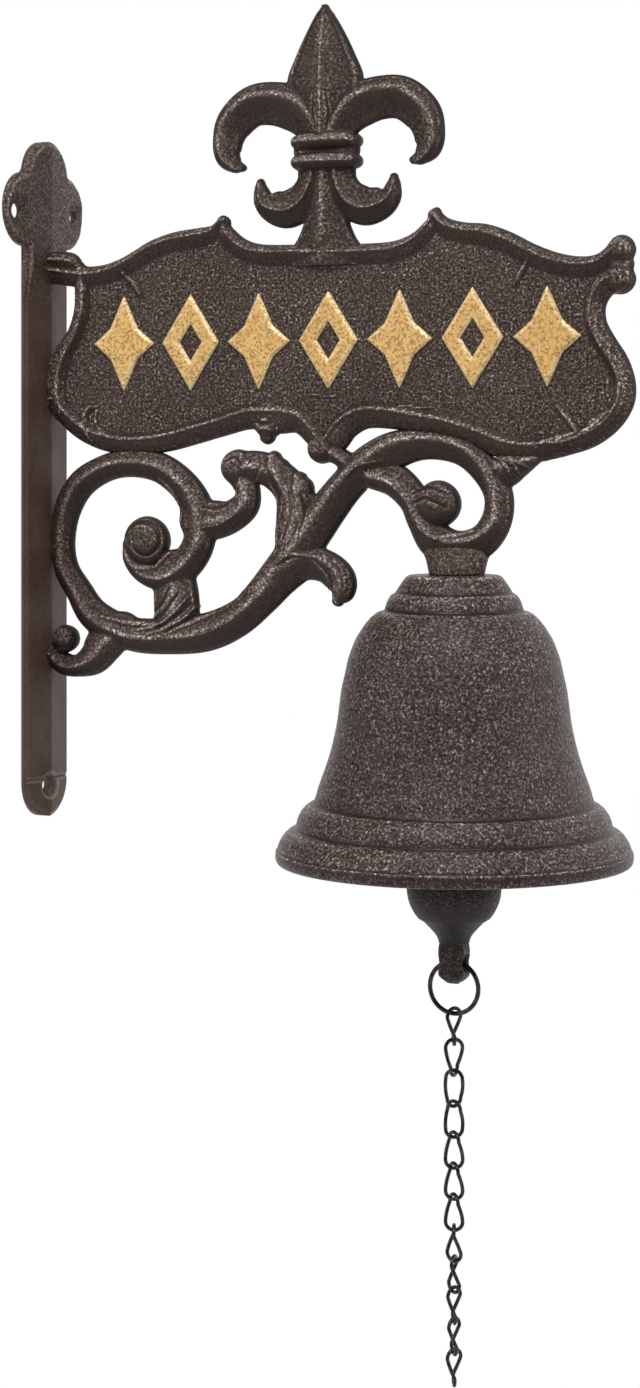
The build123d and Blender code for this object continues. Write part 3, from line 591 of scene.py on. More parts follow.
# Fleur-de-lis finial; each station is x, z, half width and crest height
finial = {
    "cell": 0.38,
    "span": ((60, 144), (-19, 62)),
    "edge": 1.6,
    "centre": 101.7,
    "centrePetal": [
        (101.2, 59.9, 0.9, 1.5), (101.2, 57.4, 2.9, 2.2), (101.2, 51.6, 6.4, 3.4), (101.2, 45.0, 9.7, 4.4),
        (101.2, 38.2, 12.4, 4.8), (101.2, 31.6, 11.0, 4.8), (101.2, 24.6, 7.0, 4.6), (101.2, 18.0, 5.2, 4.4)],
    "sidePetal": [
        (99.6, 18.0, 4.0, 3.4), (96.0, 24.6, 5.6, 3.8), (90.6, 29.4, 6.8, 4.2), (83.3, 31.4, 6.5, 4.2),
        (76.2, 30.8, 6.3, 4.2), (70.1, 26.0, 5.9, 4.0), (67.8, 20.6, 4.9, 3.6), (68.0, 15.8, 4.1, 3.0),
        (70.4, 12.9, 2.4, 2.2), (72.8, 12.0, 1.1, 1.4)],
    "footCurl": [
        (97.4, 10.6, 5.0, 3.4), (96.6, 5.8, 4.8, 3.8), (93.6, 1.0, 5.6, 4.0), (88.6, -1.4, 5.7, 4.0),
        (83.6, -0.6, 4.9, 3.8), (80.5, 1.4, 3.4, 3.0), (79.4, 4.8, 2.1, 2.2), (79.2, 7.2, 1.0, 1.6)],
    "foot": [
        (101.7, 10.0, 5.0, 4.0), (101.7, 4.0, 5.2, 4.6), (101.7, -3.0, 6.4, 5.0), (101.7, -10.0, 9.0, 4.6),
        (101.7, -15.0, 12.6, 3.8)],
    "collarCore": [(95.8, 16.2, 4.9, 3.6), (107.6, 16.2, 4.9, 3.6)],
    # x, half width and crest height, the same at both heights
    "collar": [(92.7, 2.3, 4.8), (95.6, 2.8, 6.0), (101.7, 2.9, 6.6), (107.8, 2.8, 6.0), (110.7, 2.3, 4.8)],
    "collarHeights": (12.6, 18.8),
    "domes": [],
    "marks": [
        ([(99.2, 33.0, 0.3), (98.6, 27.0, 0.6), (99.6, 22.0, 0.3)], -0.35),
        ([(103.2, 33.0, 0.3), (103.8, 27.0, 0.6), (102.8, 22.0, 0.3)], -0.35),
    ],
}


# The same stations on the other side of the finial's middle
def mirrored(stations):
    return [(2 * finial["centre"] - s[0],) + tuple(s[1:]) for s in stations]


finialLimbs = {
    "foot": {"ridge": 0.0, "power": 1.0, "shine": 0.6, "stations": finial["foot"]},
    "curlLeft": {"ridge": 0.12, "power": 1.2, "beads": ((0.12, 0.1, 0.5),), "stations": finial["footCurl"]},
    "curlRight": {"ridge": -0.12, "power": 1.2, "beads": ((-0.12, 0.1, 0.5),),
                  "stations": mirrored(finial["footCurl"])},
    "centrePetal": {"ridge": 0.0, "power": 1.1, "shine": 0.35, "stations": finial["centrePetal"],
                    "beads": ((-0.88, 0.08, 0.5), (0.88, 0.08, 0.5), (0.0, 0.05, 0.15))},
    "petalLeft": {"ridge": -0.42, "power": 1.25, "stations": finial["sidePetal"]},
    "petalRight": {"ridge": 0.42, "power": 1.25, "stations": mirrored(finial["sidePetal"])},
    "collarCore": {"ridge": 0.0, "power": 0.6, "stations": finial["collarCore"]},
}
for which, height in zip(("Low", "High"), finial["collarHeights"]):
    stations = [(x, height, half, crest) for x, half, crest in finial["collar"]]
    finialLimbs["collar" + which] = {"ridge": 0.0, "power": 0.45, "fillet": 0.4, "stations": stations}
finialPiece = casting("finial", finial, finialLimbs, contour=1)

# Gilded ornament across the sign
ornament = {
    "cell": 0.4,
    "span": ((20, 187), (-58, -26)),
    "firstX": 31.9,
    "pitch": 23.7,
    "height": -42.0,
    "count": 7,
    "starHalfWidth": 10.6,
    "lozengeHalfWidth": 9.8,
    "halfHeight": 15.0,
    "waist": 4.8,
    "opening": 0.4,  # of the lozenge, as a share of its size
    "level": 2.9,
    "bevel": (0.7, 0.8),  # depth and width
    "edgeWear": 0.8,
    "wornFrom": 0.1,
}


# Counted from 0, odd places hold a pierced lozenge: |x|/w + |z|/h < 1, less the same shape at the
# opening's size. Even places hold a star, whose outline runs straight from each point to the waist.
def ornamentShape(x, z):
    o = ornament
    place = np.clip(np.round((x - o["firstX"]) / o["pitch"]), 0, o["count"] - 1)
    dx = np.abs(x - o["firstX"] - place * o["pitch"])
    dz = np.abs(z - o["height"])
    w, h, c = o["lozengeHalfWidth"], o["halfHeight"], o["waist"]
    slant = math.hypot(1 / w, 1 / h)
    lozenge = (1 - dx / w - dz / h) / slant
    opening = (o["opening"] - dx / w - dz / h) / slant
    lozenge = np.minimum(lozenge, -opening)
    w = o["starHalfWidth"]
    towardSide = ((w - dx) * c - dz * (w - c)) / math.hypot(c, w - c)
    towardTop = ((h - dz) * c - dx * (h - c)) / math.hypot(c, h - c)
    star = np.where(dx > dz, towardSide, towardTop)
    level = np.where(place % 2 == 0, star, lozenge)
    depth, width = o["bevel"]
    top = o["level"] - depth * (1 - ease(level, 0.0, width))
    return level, top, top, o["edgeWear"] * (1 - ease(level, o["wornFrom"], width))


gilding = relief("gildedOrnament", ornament, ornamentShape, onSignSide, bulge=0.1)

# Wear, the same all over, of pieces that have no form of their own to read it from
plainWear = 0.2


# Rings round an upright axis: x = centre + half width * cos, y = half depth * sin, at each height. Closed,
# the last ring runs on into the first. Otherwise a fan of triangles closes each end.
def ringedSurface(centre, width, depth, height, sides, closed=False):
    angle = np.linspace(0, 2 * math.pi, sides, endpoint=False)
    x = centre + width[:, None] * np.cos(angle)
    y = depth[:, None] * np.sin(angle)
    z = np.repeat(height[:, None], sides, 1)
    points = np.stack([x, y, z], -1).reshape(-1, 3)
    polygons = [gridQuads(len(height), sides, wrapRows=closed)]
    if not closed:
        k, end, last = np.arange(sides), len(points), len(points) - sides
        after = (k + 1) % sides
        polygons.append(np.stack([after, k, np.full(sides, end)], 1))
        polygons.append(np.stack([last + k, last + after, np.full(sides, end + 1)], 1))
        points = np.vstack([points, [centre, 0, height[0]], [centre, 0, height[-1]]])
    return points, polygons


# Bell seat: rings that go from a round pad to a flat neck
seat = {
    "x": 144.6,
    # height, half width and half depth
    "rings": [
        (-113.0, 7.8, 7.8), (-112.6, 8.4, 8.4), (-110.6, 9.0, 7.8), (-108.2, 9.9, 6.2), (-105.6, 11.2, 4.6),
        (-103.4, 10.6, 3.7), (-101.6, 7.0, 2.8), (-101.0, 4.0, 1.8),
    ],
    "sides": 72,
}
seatHeight, seatWidth, seatDepth = smoothPath(seat["rings"], steps=6).T
bellSeat = newMesh("bellSeat", *ringedSurface(seat["x"], seatWidth, seatDepth, seatHeight, seat["sides"]))
addColumn(bellSeat, "wear", np.full(len(bellSeat.data.vertices), plainWear))

# Turned pieces: a profile of radius and height carried round the bell's axis
axisX = 143.7
turning = {
    "bendGain": 1.3,  # wear with painted highlight, and painted shade, for a bend of 1 / mm
    "most": 0.8,
    "down": (0.1, 0.7),  # how far a face is turned down, from where painted shade begins to where it's darkest
    "downShade": 0.6,
    "fade": 0.5,  # height over which painted shade comes in at darkBelow
}


# How sharply a profile turns at each point, + where it bulges outwards: the angle over the mean length
# of the steps before and after, in 1 / mm, averaged with its neighbours
def profileBend(profile):
    before = profile - np.roll(profile, 1, 0)
    after = np.roll(profile, -1, 0) - profile
    longBefore, longAfter = (np.hypot(step[:, 0], step[:, 1]) + tiny for step in (before, after))
    turn = before[:, 1] * after[:, 0] - before[:, 0] * after[:, 1]
    bend = np.arcsin(np.clip(turn / longBefore / longAfter, -1, 1)) * 2 / (longBefore + longAfter)
    return (np.roll(bend, 1) + 2 * bend + np.roll(bend, -1)) / 4


# The profile runs down the outside, so the rings' faces are turned round to point outwards
def turned(name, profile, sides, closed, darkBelow=-math.inf):
    radius, height = profile.T
    points, polygons = ringedSurface(axisX, radius, radius, height, sides, closed)
    piece = newMesh(name, points, [block[:, ::-1] for block in polygons])
    # painted highlight with wear where the profile bulges; painted shade where it hollows, where it looks
    # down and below darkBelow
    bend = profileBend(profile) * turning["bendGain"]
    along = np.roll(profile, -1, 0) - np.roll(profile, 1, 0)
    under = ease(-along[:, 0] / (np.hypot(along[:, 0], along[:, 1]) + tiny), *turning["down"])
    under = np.maximum(under, ease(darkBelow - height, 0, turning["fade"]))
    wear = np.clip(bend, 0, turning["most"]) * (1 - under)
    shade = np.clip(-bend + turning["downShade"] * under, 0, turning["most"])
    for column, values in (("wear", wear), ("shade", shade)):
        values = np.repeat(values, sides)
        addColumn(piece, column, np.pad(values, (0, len(points) - len(values))))
    return piece


# Bell: a cubic through the points, down the outside and up the inside, closed at the bolt's hole
bell = {
    "sides": 192,
    "hole": 3.4,
    "crown": (-113.0, -117.0),  # heights of the crown's top and underside
    "crownFlat": 8.0,
    # height under which the lip gets painted shade
    "darkBelow": -195.5,
    "outside": [
        (13.4, -113.1), (14.4, -113.6), (15.6, -115.2), (16.7, -116.8), (17.4, -118.0), (17.9, -118.5),
        (18.9, -119.1), (19.9, -120.6), (20.5, -122.2), (20.9, -123.4), (21.6, -123.9), (22.8, -124.2),
        (24.6, -125.5), (26.6, -127.7), (28.3, -130.2), (29.6, -132.4), (30.9, -135.6), (31.9, -138.6),
        (32.8, -142.8), (33.8, -147.2), (34.5, -152.4), (35.2, -157.6), (36.2, -162.4), (37.2, -166.4),
        (38.6, -170.8), (39.9, -174.4), (40.9, -177.2), (41.5, -179.4), (42.1, -180.9), (42.7, -181.6),
        (43.8, -182.0), (45.2, -183.2), (46.4, -184.9), (47.1, -186.6), (47.4, -187.9), (47.7, -188.8),
        (48.4, -189.2), (49.7, -189.8), (51.0, -191.0), (52.1, -192.6), (52.8, -194.1), (53.0, -194.9),
        (53.1, -195.3), (53.5, -195.7), (53.62, -196.6), (53.62, -197.6), (53.3, -198.7), (52.6, -199.3),
        (51.6, -199.4),
    ],
    "inside": [
        (49.6, -199.4), (48.8, -198.8), (47.8, -197.0), (46.8, -195.0), (44.6, -190.6), (42.2, -186.0),
        (39.8, -181.6), (37.8, -177.0), (35.6, -171.8), (33.8, -166.0), (32.2, -159.4), (31.1, -153.0),
        (30.2, -147.0), (29.1, -141.0), (27.8, -137.0), (25.9, -133.2), (22.6, -128.6), (18.4, -124.0),
        (15.2, -120.2), (12.4, -117.6), (9.0, -117.0),
    ],
}
crownTop, crownUnder = bell["crown"]
bellProfile = np.vstack([
    (bell["hole"], crownTop), (bell["crownFlat"], crownTop), smoothPath(bell["outside"], steps=4),
    smoothPath(bell["inside"], steps=3), (bell["hole"], crownUnder),
])
bellShell = turned("bellShell", bellProfile, bell["sides"], closed=True, darkBelow=bell["darkBelow"])

# Clapper: a rod, then radius * cos and middle + radius * sin round the ball, then the neck
clapper = {
    "sides": 96,
    "rod": 3.0,
    "rodHeights": (-144.6, -191.6),
    "ball": (14.25, -206.7),  # radius and middle
    "ballAngles": (77, -40),
    "ballSteps": 28,
    "neck": [(9.2, -216.9), (6.6, -219.6), (5.1, -221.6), (4.6, -223.2)],
}
ballRadius, ballMiddle = clapper["ball"]
ballAngle = np.radians(np.linspace(*clapper["ballAngles"], clapper["ballSteps"]))
clapperProfile = np.vstack([
    [(clapper["rod"], height) for height in clapper["rodHeights"]],
    np.stack([ballRadius * np.cos(ballAngle), ballMiddle + ballRadius * np.sin(ballAngle)], 1),
    smoothPath(clapper["neck"], steps=4),
])
clapperBall = turned("clapperBall", clapperProfile, clapper["sides"], closed=False)

# The clapper's flat tail
tail = {
    "cell": 0.22,
    "span": ((-4, 4), (-237, -219)),
    "halfWidth": 4.25,
    "halfDepth": 3.4,
    "top": -220.4,
    "tip": -235.6,
    "toe": 0.9,  # height of the round toe, as a share of the half depth
    "hole": -229.2,
    "holeRadius": 2.058,
    "bevel": (1.1, 1.2),  # depth and width
    "neck": (0.5, (-226, -222)),  # how much narrower it gets, and the heights over which it does
    "toeRound": (1.7, (-235.6, -232.2), 1.5),  # the same for the toe, and the power of the curve
    "edgeWear": 0.2,
    "edgeWearWidth": (0.2, 1.0),
}


# Outline: a bar with a round toe, less a round hole. Half width: less a bevel along the outline,
# the narrowing below the ball and the rounding of the toe.
def tailShape(y, z):
    t = tail
    deep = t["halfDepth"]
    bar = np.minimum(deep - np.abs(y), t["top"] - z)
    foot = t["tip"] + deep * t["toe"]
    toe = deep - np.hypot(y, np.minimum(z - foot, 0) / t["toe"])
    level = np.where(z < foot, toe, bar)
    level = np.minimum(level, np.hypot(y, z - t["hole"]) - t["holeRadius"])
    depth, width = t["bevel"]
    narrower, neckHeights = t["neck"]
    rounder, (low, high), power = t["toeRound"]
    front = t["halfWidth"] - depth * (1 - ease(level, 0, width)) - narrower * ease(z, *neckHeights)
    front -= rounder * ease(-z, -high, -low) ** power
    return level, front, front, t["edgeWear"] * (1 - ease(level, *t["edgeWearWidth"]))


# A relief across the bell's axis: u runs along y, and the face looks out along x
def onTail(u, v, w):
    return np.stack([axisX + w, u, v], 1)


clapperTail = relief("clapperTail", tail, tailShape, onTail, bulge=0.05)


# A round wire along a closed path: path + radius * (cos * outward + sin * beside). Outward points away
# from the loop's middle, with its height reduced, and is squared up to the path.
def wirePiece(name, path, radius, sides):
    heightShare = 0.45  # of a loop's height in the outward direction
    tangent = np.roll(path, -1, 0) - np.roll(path, 1, 0)
    tangent /= np.linalg.norm(tangent, axis=1)[:, None]
    outward = (path - path.mean(0)) * (1, 1, heightShare)
    outward -= tangent * (outward * tangent).sum(1)[:, None]
    outward /= np.linalg.norm(outward, axis=1)[:, None]
    beside = np.cross(tangent, outward)
    angle = np.linspace(0, 2 * math.pi, sides, endpoint=False)
    points = (
        path[:, None]
        + radius * np.cos(angle)[None, :, None] * outward[:, None]
        + radius * np.sin(angle)[None, :, None] * beside[:, None]
    )
    piece = newMesh(name, points.reshape(-1, 3), [gridQuads(len(path), sides, wrapRows=True)])
    addColumn(piece, "wear", np.full(len(piece.data.vertices), plainWear))
    return piece


# Pull ring: x = axis + radius * cos, z = middle + radius * sin
ring = {"radius": 7.8, "wire": 0.7, "middle": -236.8, "steps": 160, "sides": 16}
ringAngle = np.linspace(0, 2 * math.pi, ring["steps"], endpoint=False)
ringX = axisX + ring["radius"] * np.cos(ringAngle)
ringZ = ring["middle"] + ring["radius"] * np.sin(ringAngle)
ringPath = np.stack([ringX, np.zeros(ring["steps"]), ringZ], 1)
pullRing = wirePiece("pullRing", ringPath, ring["wire"], ring["sides"])

# Chain of twisted links
chain = {
    "turns": [62, 35, 5, 160, 145, 140, 140, 110, 95, 67, 75, 62],  # each link's heading, in degrees
    "twist": 55,
    "top": -242.4,
    "pitch": 9.3,
    "length": 12.0,
    "width": 6.4,
    "wire": 0.6,
    "wireShown": 0.965,  # share of the wire's radius that is drawn, so that links clear at every pose
    "steps": 18,  # points on each bend and each straight
    "sides": 12,
}


# Two half-round bends joined by straights; the heading turns by twist as the loop comes down
def loopPath(number):
    c = chain
    bend = c["width"] / 2 - c["wire"]
    half = c["length"] / 2 - c["wire"] - bend
    arc = np.linspace(0, math.pi, c["steps"])
    run = np.linspace(half, -half, c["steps"])[1:-1]
    straight = np.full(run.shape, bend)
    across = np.concatenate([bend * np.cos(arc), -straight, -bend * np.cos(arc), straight])
    rise = np.concatenate([half + bend * np.sin(arc), run, -half - bend * np.sin(arc), -run])
    core = np.clip(rise, -half, half)
    heading = np.radians(c["turns"][number] + c["twist"] * (half - core) / (2 * half))
    middle = c["top"] - c["pitch"] * number - c["length"] / 2
    return np.stack([axisX + across * np.cos(heading), across * np.sin(heading), middle + rise], 1)


linkWire = chain["wire"] * chain["wireShown"]
chainLinks = [
    wirePiece(f"chainLink{number + 1:02d}", loopPath(number), linkWire, chain["sides"])
    for number in range(len(chain["turns"]))
]


# Materials

# Wraps a socket so that an expression on it adds Math nodes
class Field:
    def __init__(self, paint, socket):
        self.paint = paint
        self.socket = socket

    def join(self, operation, first, second):
        node = self.paint.node("ShaderNodeMath", {"operation": operation}, {0: first, 1: second})
        return Field(self.paint, node.outputs[0])

    def __add__(self, other):
        return self.join("ADD", self, other)

    def __radd__(self, other):
        return self.join("ADD", other, self)

    def __sub__(self, other):
        return self.join("SUBTRACT", self, other)

    def __rsub__(self, other):
        return self.join("SUBTRACT", other, self)

    def __mul__(self, other):
        return self.join("MULTIPLY", self, other)

    def __rmul__(self, other):
        return self.join("MULTIPLY", other, self)


# A material, with one short method for each kind of node that the finishes use
class Paint:
    def __init__(self, name):
        self.material = bpy.data.materials.new(name)
        self.material.use_nodes = True
        self.tree = self.material.node_tree
        self.tree.nodes.clear()
        self.place = self.node("ShaderNodeTexCoord", {}, {}).outputs["Object"]

    # One way for every node: its type, its settings, then the values or links of its sockets
    def node(self, kind, settings, sockets):
        made = self.tree.nodes.new(kind)
        for key, value in settings.items():
            if key == "stops":
                ramp = made.color_ramp.elements
                while len(ramp) < len(value):
                    ramp.new(0.5)
                for stop, (position, colour) in zip(ramp, value):
                    stop.position = position
                    stop.color = (*colour, 1)
            else:
                setattr(made, key, value)
        for key, value in sockets.items():
            socket = made.inputs[key]
            if isinstance(value, Field):
                self.tree.links.new(value.socket, socket)
            elif isinstance(value, bpy.types.NodeSocket):
                self.tree.links.new(value, socket)
            else:
                socket.default_value = value
        return made

    def noise(self, scale, detail, roughness, distortion=0.0):
        sockets = {"Vector": self.place, "Scale": scale, "Detail": detail, "Roughness": roughness,
                   "Distortion": distortion}
        return Field(self, self.node("ShaderNodeTexNoise", {}, sockets).outputs["Fac"])

    def along(self, letter):
        return Field(self, self.node("ShaderNodeSeparateXYZ", {}, {0: self.place}).outputs[letter])

    def column(self, name):
        return Field(self, self.node("ShaderNodeAttribute", {"attribute_name": name}, {}).outputs["Fac"])

    def between(self, value, low, high, outLow=0.0, outHigh=1.0):
        sockets = {"Value": value, "From Min": low, "From Max": high, "To Min": outLow, "To Max": outHigh}
        return Field(self, self.node("ShaderNodeMapRange", {"clamp": True}, sockets).outputs["Result"])

    def ramp(self, value, stops):
        return self.node("ShaderNodeValToRGB", {"stops": stops}, {"Fac": value}).outputs["Color"]

    def mix(self, share, first, second):
        made = self.node("ShaderNodeMix", {"data_type": "RGBA"}, {0: share})
        for index, value in ((6, first), (7, second)):
            if isinstance(value, bpy.types.NodeSocket):
                self.tree.links.new(value, made.inputs[index])
            else:
                made.inputs[index].default_value = (*value, 1)
        return made.outputs[2]

    def bump(self, height, strength, distance):
        sockets = {"Height": height, "Strength": strength, "Distance": distance}
        return self.node("ShaderNodeBump", {}, sockets).outputs["Normal"]

    def finish(self, sockets):
        shader = self.node("ShaderNodeBsdfPrincipled", {}, sockets)
        self.node("ShaderNodeOutputMaterial", {}, {"Surface": shader.outputs[0]})
        return self.material


castIron = {
    "pit": (0.006, 0.0038, 0.003),
    "body": (0.046, 0.0258, 0.0185),
    "worn": (0.18, 0.137, 0.122),
    "glint": (0.62, 0.57, 0.56),
    "bodyAt": 0.4,  # the tones at which body and worn stand, between 0 and 1
    "wornAt": 0.74,
    "gritScale": 1300.0,
    "gritDepth": 0.0003,
    "gritBump": 0.9,
    "contrast": 0.8,
    "calm": 0.85,  # share of the grit that is lost in full shade
    "middle": 0.36,
    "wear": 0.34,
    "shade": 0.26,
    "roughness": (0.4, 0.6),
    "metallic": 0.0,
    "gloss": 0.27,
    "patchScale": 110.0,
    "patch": (0.8, 1.1),
    "cloudScale": 42.0,
    "clouds": 0.25,
    "smoothBelow": None,  # height in m under which the surface is calmer and lighter
    "smoothOver": 0.02,
    "smoothGrit": 0.12,
    "smoothLift": 0.08,
    "soot": 0.0,  # painted shade close to the wall: how much darker it is there
    "sootReach": (0.011, 0.026),
}


# Sand-cast iron under dark brown paint: grit with black pits, rubbed tops with a painted highlight, and
# painted shade, with calmer grit, on the flanks that look down. Tone = middle + grit * contrast + clouds +
# wear and sheen - shade, with a lift under smoothBelow and less by the painted wall shade, then read off a
# ramp.
def ironPaint(name, **changes):
    iron = {**castIron, **changes}
    paint = Paint(name)
    grit = paint.noise(iron["gritScale"], detail=2.0, roughness=0.6, distortion=0.3)
    cloud = paint.noise(iron["cloudScale"], detail=3.0, roughness=0.6)
    patch = paint.noise(iron["patchScale"], detail=2.0, roughness=0.5)
    patch = paint.between(patch, 0.35, 0.65, *iron["patch"])
    lift = 0.0
    if iron["smoothBelow"] is not None:
        over = iron["smoothBelow"] - iron["smoothOver"], iron["smoothBelow"]
        patch = patch * paint.between(paint.along("Z"), *over, iron["smoothGrit"], 1.0)
        lift = paint.between(paint.along("Z"), *over, iron["smoothLift"], 0.0)
    wear, shade = paint.column("wear"), paint.column("shade")
    calm = (1 - shade * iron["calm"]) * patch
    grain = (paint.between(grit, 0.3, 0.7) - 0.5) * calm
    tone = iron["middle"] + grain * iron["contrast"] + (cloud - 0.5) * iron["clouds"]
    tone = tone + wear * iron["wear"] - shade * iron["shade"] + lift
    # painted shade close to the wall
    if iron["soot"]:
        tone = tone - paint.between(paint.along("X"), *iron["sootReach"], 1.0, 0.0) * iron["soot"]
    stops = [(0.0, iron["pit"]), (iron["bodyAt"], iron["body"])]
    stops += [(iron["wornAt"], iron["worn"]), (1.0, iron["glint"])]
    smooth, coarse = iron["roughness"]
    rough = paint.between(grain, -0.4, 0.4, coarse, smooth)
    return paint.finish({
        "Base Color": paint.ramp(tone, stops), "Roughness": rough, "Metallic": iron["metallic"],
        "Normal": paint.bump(grain, iron["gritBump"], iron["gritDepth"]), "Specular IOR Level": iron["gloss"],
    })


gilt = {
    "deep": (0.30, 0.15, 0.04),
    "body": (0.76, 0.49, 0.18),
    "rust": (0.62, 0.30, 0.07),
    "edge": (0.95, 0.80, 0.50),
    "grainScale": 1250.0,
    "grainBump": 0.7,
    "grainDepth": 0.00022,
    "cloudScale": 120.0,
    "rustShare": 0.3,
    "roughness": (0.38, 0.6),
    "metallic": 0.25,
    "gloss": 0.4,
}


# Gold paint over the same grain: deep in its pits, rusty in clouds and pale along the edges, where they are
# rubbed and a highlight is painted
def giltPaint(name):
    paint = Paint(name)
    fine = paint.noise(gilt["grainScale"], detail=3.0, roughness=0.65)
    cloud = paint.noise(gilt["cloudScale"], detail=4.0, roughness=0.6)
    colour = paint.mix(paint.between(fine, 0.34, 0.56), gilt["deep"], gilt["body"])
    colour = paint.mix(paint.between(cloud, 0.45, 0.7) * gilt["rustShare"], colour, gilt["rust"])
    colour = paint.mix(paint.column("wear") * paint.between(fine, 0.35, 0.6), colour, gilt["edge"])
    smooth, coarse = gilt["roughness"]
    return paint.finish({
        "Base Color": colour, "Roughness": paint.between(fine, 0.3, 0.7, coarse, smooth),
        "Metallic": gilt["metallic"], "Normal": paint.bump(fine, gilt["grainBump"], gilt["grainDepth"]),
        "Specular IOR Level": gilt["gloss"],
    })


drawnWire = {
    "dark": (0.018, 0.017, 0.016),
    "light": (0.07, 0.066, 0.062),
    "markScale": 700.0,
    "markBump": 0.25,
    "markDepth": 0.0001,
    "roughness": (0.22, 0.4),
    "metallic": 0.85,
}


# Dark drawn wire: nearly even, with faint draw marks
def wirePaint(name):
    paint = Paint(name)
    fine = paint.noise(drawnWire["markScale"], detail=3.0, roughness=0.5)
    return paint.finish({
        "Base Color": paint.mix(paint.between(fine, 0.35, 0.7), drawnWire["dark"], drawnWire["light"]),
        "Roughness": paint.between(fine, 0.3, 0.7, *drawnWire["roughness"]),
        "Metallic": drawnWire["metallic"],
        "Normal": paint.bump(fine, drawnWire["markBump"], drawnWire["markDepth"]),
    })


strapPaint = ironPaint("strapIron", body=(0.056, 0.031, 0.022), contrast=0.7, smoothBelow=-0.012)
# the bracket gets painted shade close to the wall
bracketPaint = ironPaint("bracketIron", contrast=0.75, soot=0.17)
finialPaint = ironPaint("finialIron", contrast=0.75, middle=0.31)
signPaint = ironPaint("signIron", body=(0.05, 0.029, 0.02), contrast=1.05)
bellPaint = ironPaint(
    "bellIron", body=(0.044, 0.026, 0.0207), contrast=0.95, clouds=0.12, patch=(0.95, 1.05),
    gritDepth=0.00018, roughness=(0.3, 0.46), gloss=0.26,
)
clapperPaint = ironPaint("clapperIron", body=(0.025, 0.0165, 0.015), contrast=0.5, middle=0.3)
giltMaterial = giltPaint("giltPaint")
wireMaterial = wirePaint("darkWire")
fixingMaterial = wirePaint("fixingSteel")
print("materials made")


# Gives a piece its material and body, and hides the CAD nodes that it stands in for; the slot is not used
def dress(piece, material, body, slot, *nodes):
    piece.data.materials.clear()
    piece.data.materials.append(material)
    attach(piece, body)
    if nodes:
        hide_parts(*nodes)


dress(wallStrap, strapPaint, "bracket", "bracket_iron", "bracket")
dress(signPlate, signPaint, "bracket", "bracket_iron")
for piece in (scrollwork, bellSeat):
    dress(piece, bracketPaint, "bracket", "bracket_iron")
dress(finialPiece, finialPaint, "bracket", "bracket_iron")
dress(gilding, giltMaterial, "bracket", "gilt_paint")
dress(bellShell, bellPaint, "bracket", "bell_iron", "bell")
dress(clapperBall, clapperPaint, "clapper", "clapper_iron", "clapper")
dress(clapperTail, clapperPaint, "clapper", "clapper_iron")
dress(pullRing, wireMaterial, "pull_ring", "chain_steel", "pull_ring")
for number, link in enumerate(chainLinks):
    node = f"chain_link_{number + 1:02d}"
    dress(link, wireMaterial, node, "chain_steel", node)

# the nodes that the bell hides stay as they are in the CAD, with a material
for name in ("eye_bolt", "washer", "nut", "joining_link"):
    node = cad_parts[name]
    node.data.materials.clear()
    node.data.materials.append(fixingMaterial)

# Floor, backdrop and light, in metres
studio = {
    "halfWidth": 3.0,
    "front": -3.0,
    "bendFrom": 1.6,
    "bendRadius": 0.5,
    "bendSteps": 24,
    "wallTop": 3.2,
    "floorHeight": -0.46,
    "sheetGrey": 0.8,
    "world": 0.2,
    "lamps": [
        # place, aim, size, watts
        ((0.35, -0.80, 1.15), (0.10, 0.0, -0.06), 0.6, 20.0),
        ((1.20, 0.10, 0.22), (0.12, 0.0, -0.12), 0.4, 4.2),
        ((-0.80, -0.80, 0.30), (0.12, 0.0, -0.12), 0.4, 4.0),
    ],
}


# Floor and wall in one sheet: flat, then a quarter round, then upright behind the object
def makeBackdrop():
    start, bend = studio["bendFrom"], studio["bendRadius"]
    arc = np.linspace(0, math.pi / 2, studio["bendSteps"])
    y = np.concatenate([[studio["front"]], start + bend * np.sin(arc), [start + bend]])
    z = np.concatenate([[0.0], bend * (1 - np.cos(arc)), [studio["wallTop"]]]) + studio["floorHeight"]
    x = np.array([-studio["halfWidth"], studio["halfWidth"]])
    points = np.stack([np.repeat(x, len(y)), np.tile(y, 2), np.tile(z, 2)], 1) / mm
    return newMesh("studioSheet", points, [gridQuads(2, len(y), wrapColumns=False)])


backdrop = makeBackdrop()


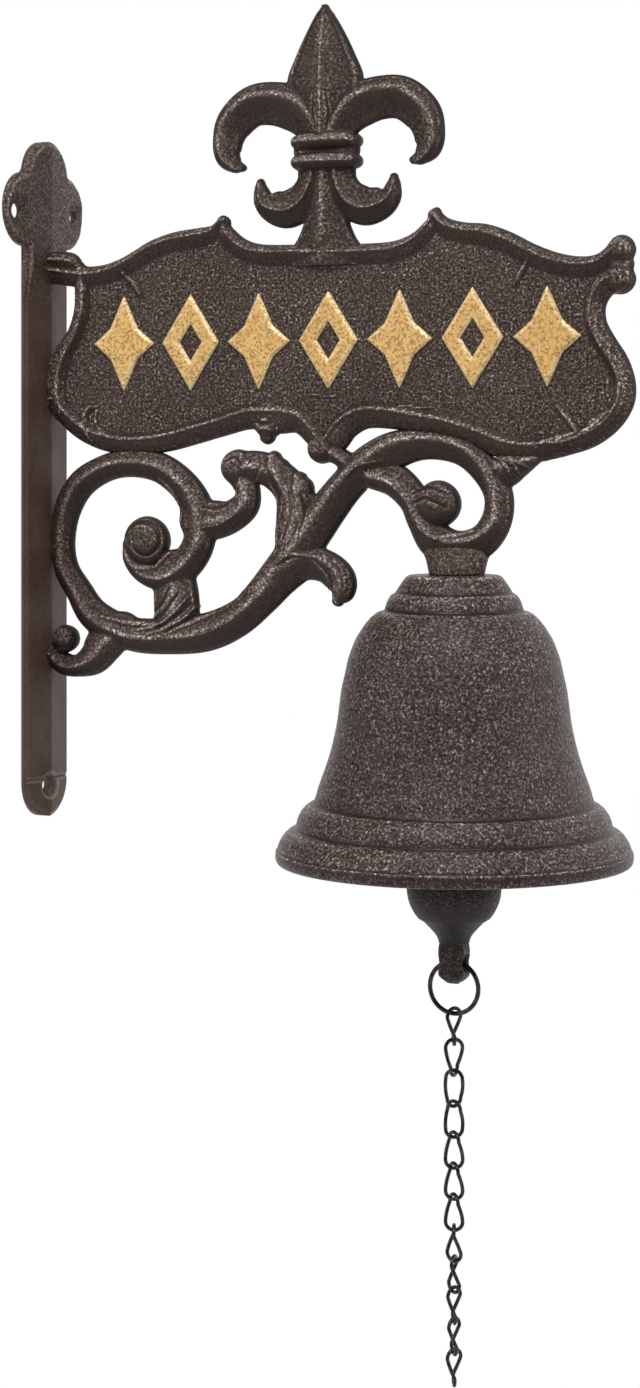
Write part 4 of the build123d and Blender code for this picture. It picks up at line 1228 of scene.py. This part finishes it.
# The camera, gloss and clear things see the sheet as white; other light meets it as a pale grey
def backdropMaterial():
    paint = Paint("studioWhite")
    rays = paint.node("ShaderNodeLightPath", {}, {})
    seen = Field(paint, rays.outputs["Is Camera Ray"]) + Field(paint, rays.outputs["Is Glossy Ray"])
    seen = seen + Field(paint, rays.outputs["Is Transmission Ray"])
    plain = paint.node("ShaderNodeBsdfDiffuse", {}, {"Color": (studio["sheetGrey"],) * 3 + (1,)})
    white = paint.node("ShaderNodeEmission", {}, {"Color": (1, 1, 1, 1), "Strength": 1.0})
    share = paint.between(seen, 0, 1)
    blend = paint.node("ShaderNodeMixShader", {}, {0: share, 1: plain.outputs[0], 2: white.outputs[0]})
    paint.node("ShaderNodeOutputMaterial", {}, {"Surface": blend.outputs[0]})
    return paint.material


backdrop.data.materials.append(backdropMaterial())

world = bpy.data.worlds.new("studioWorld")
bpy.context.scene.world = world
world.use_nodes = True
around = world.node_tree.nodes["Background"]
around.inputs["Color"].default_value = (1, 1, 1, 1)
around.inputs["Strength"].default_value = studio["world"]


# Puts a thing in place and turns its -z axis to the target
def aim(thing, place, target):
    thing.location = place
    away = [a - b for a, b in zip(place, target)]
    flat = math.hypot(away[0], away[1])
    thing.rotation_euler = (math.atan2(flat, away[2]), 0, math.atan2(away[0], -away[1]))


for number, (place, target, size, watts) in enumerate(studio["lamps"]):
    lamp = bpy.data.lights.new(f"softLamp{number + 1}", "AREA")
    lamp.size = size
    lamp.energy = watts
    holder = bpy.data.objects.new(lamp.name, lamp)
    bpy.context.scene.collection.objects.link(holder)
    aim(holder, place, target)

# The photograph's view: place in m, turn in degrees, lens in mm and upward shift of the frame
view = {
    "place": (0.4665, -0.7874, -0.0750),
    "turn": 25.0,
    "lens": 73.5,
    "shift": -0.1772,
}
camera = bpy.data.cameras.new("camera")
camera.lens = view["lens"]
camera.shift_y = view["shift"]
holder = bpy.data.objects.new("camera", camera)
holder.location = view["place"]
holder.rotation_euler = (math.radians(90), 0, math.radians(view["turn"]))
bpy.context.scene.collection.objects.link(holder)
bpy.context.scene.camera = holder
bpy.context.scene.view_settings.view_transform = "Standard"
print("light and camera set")
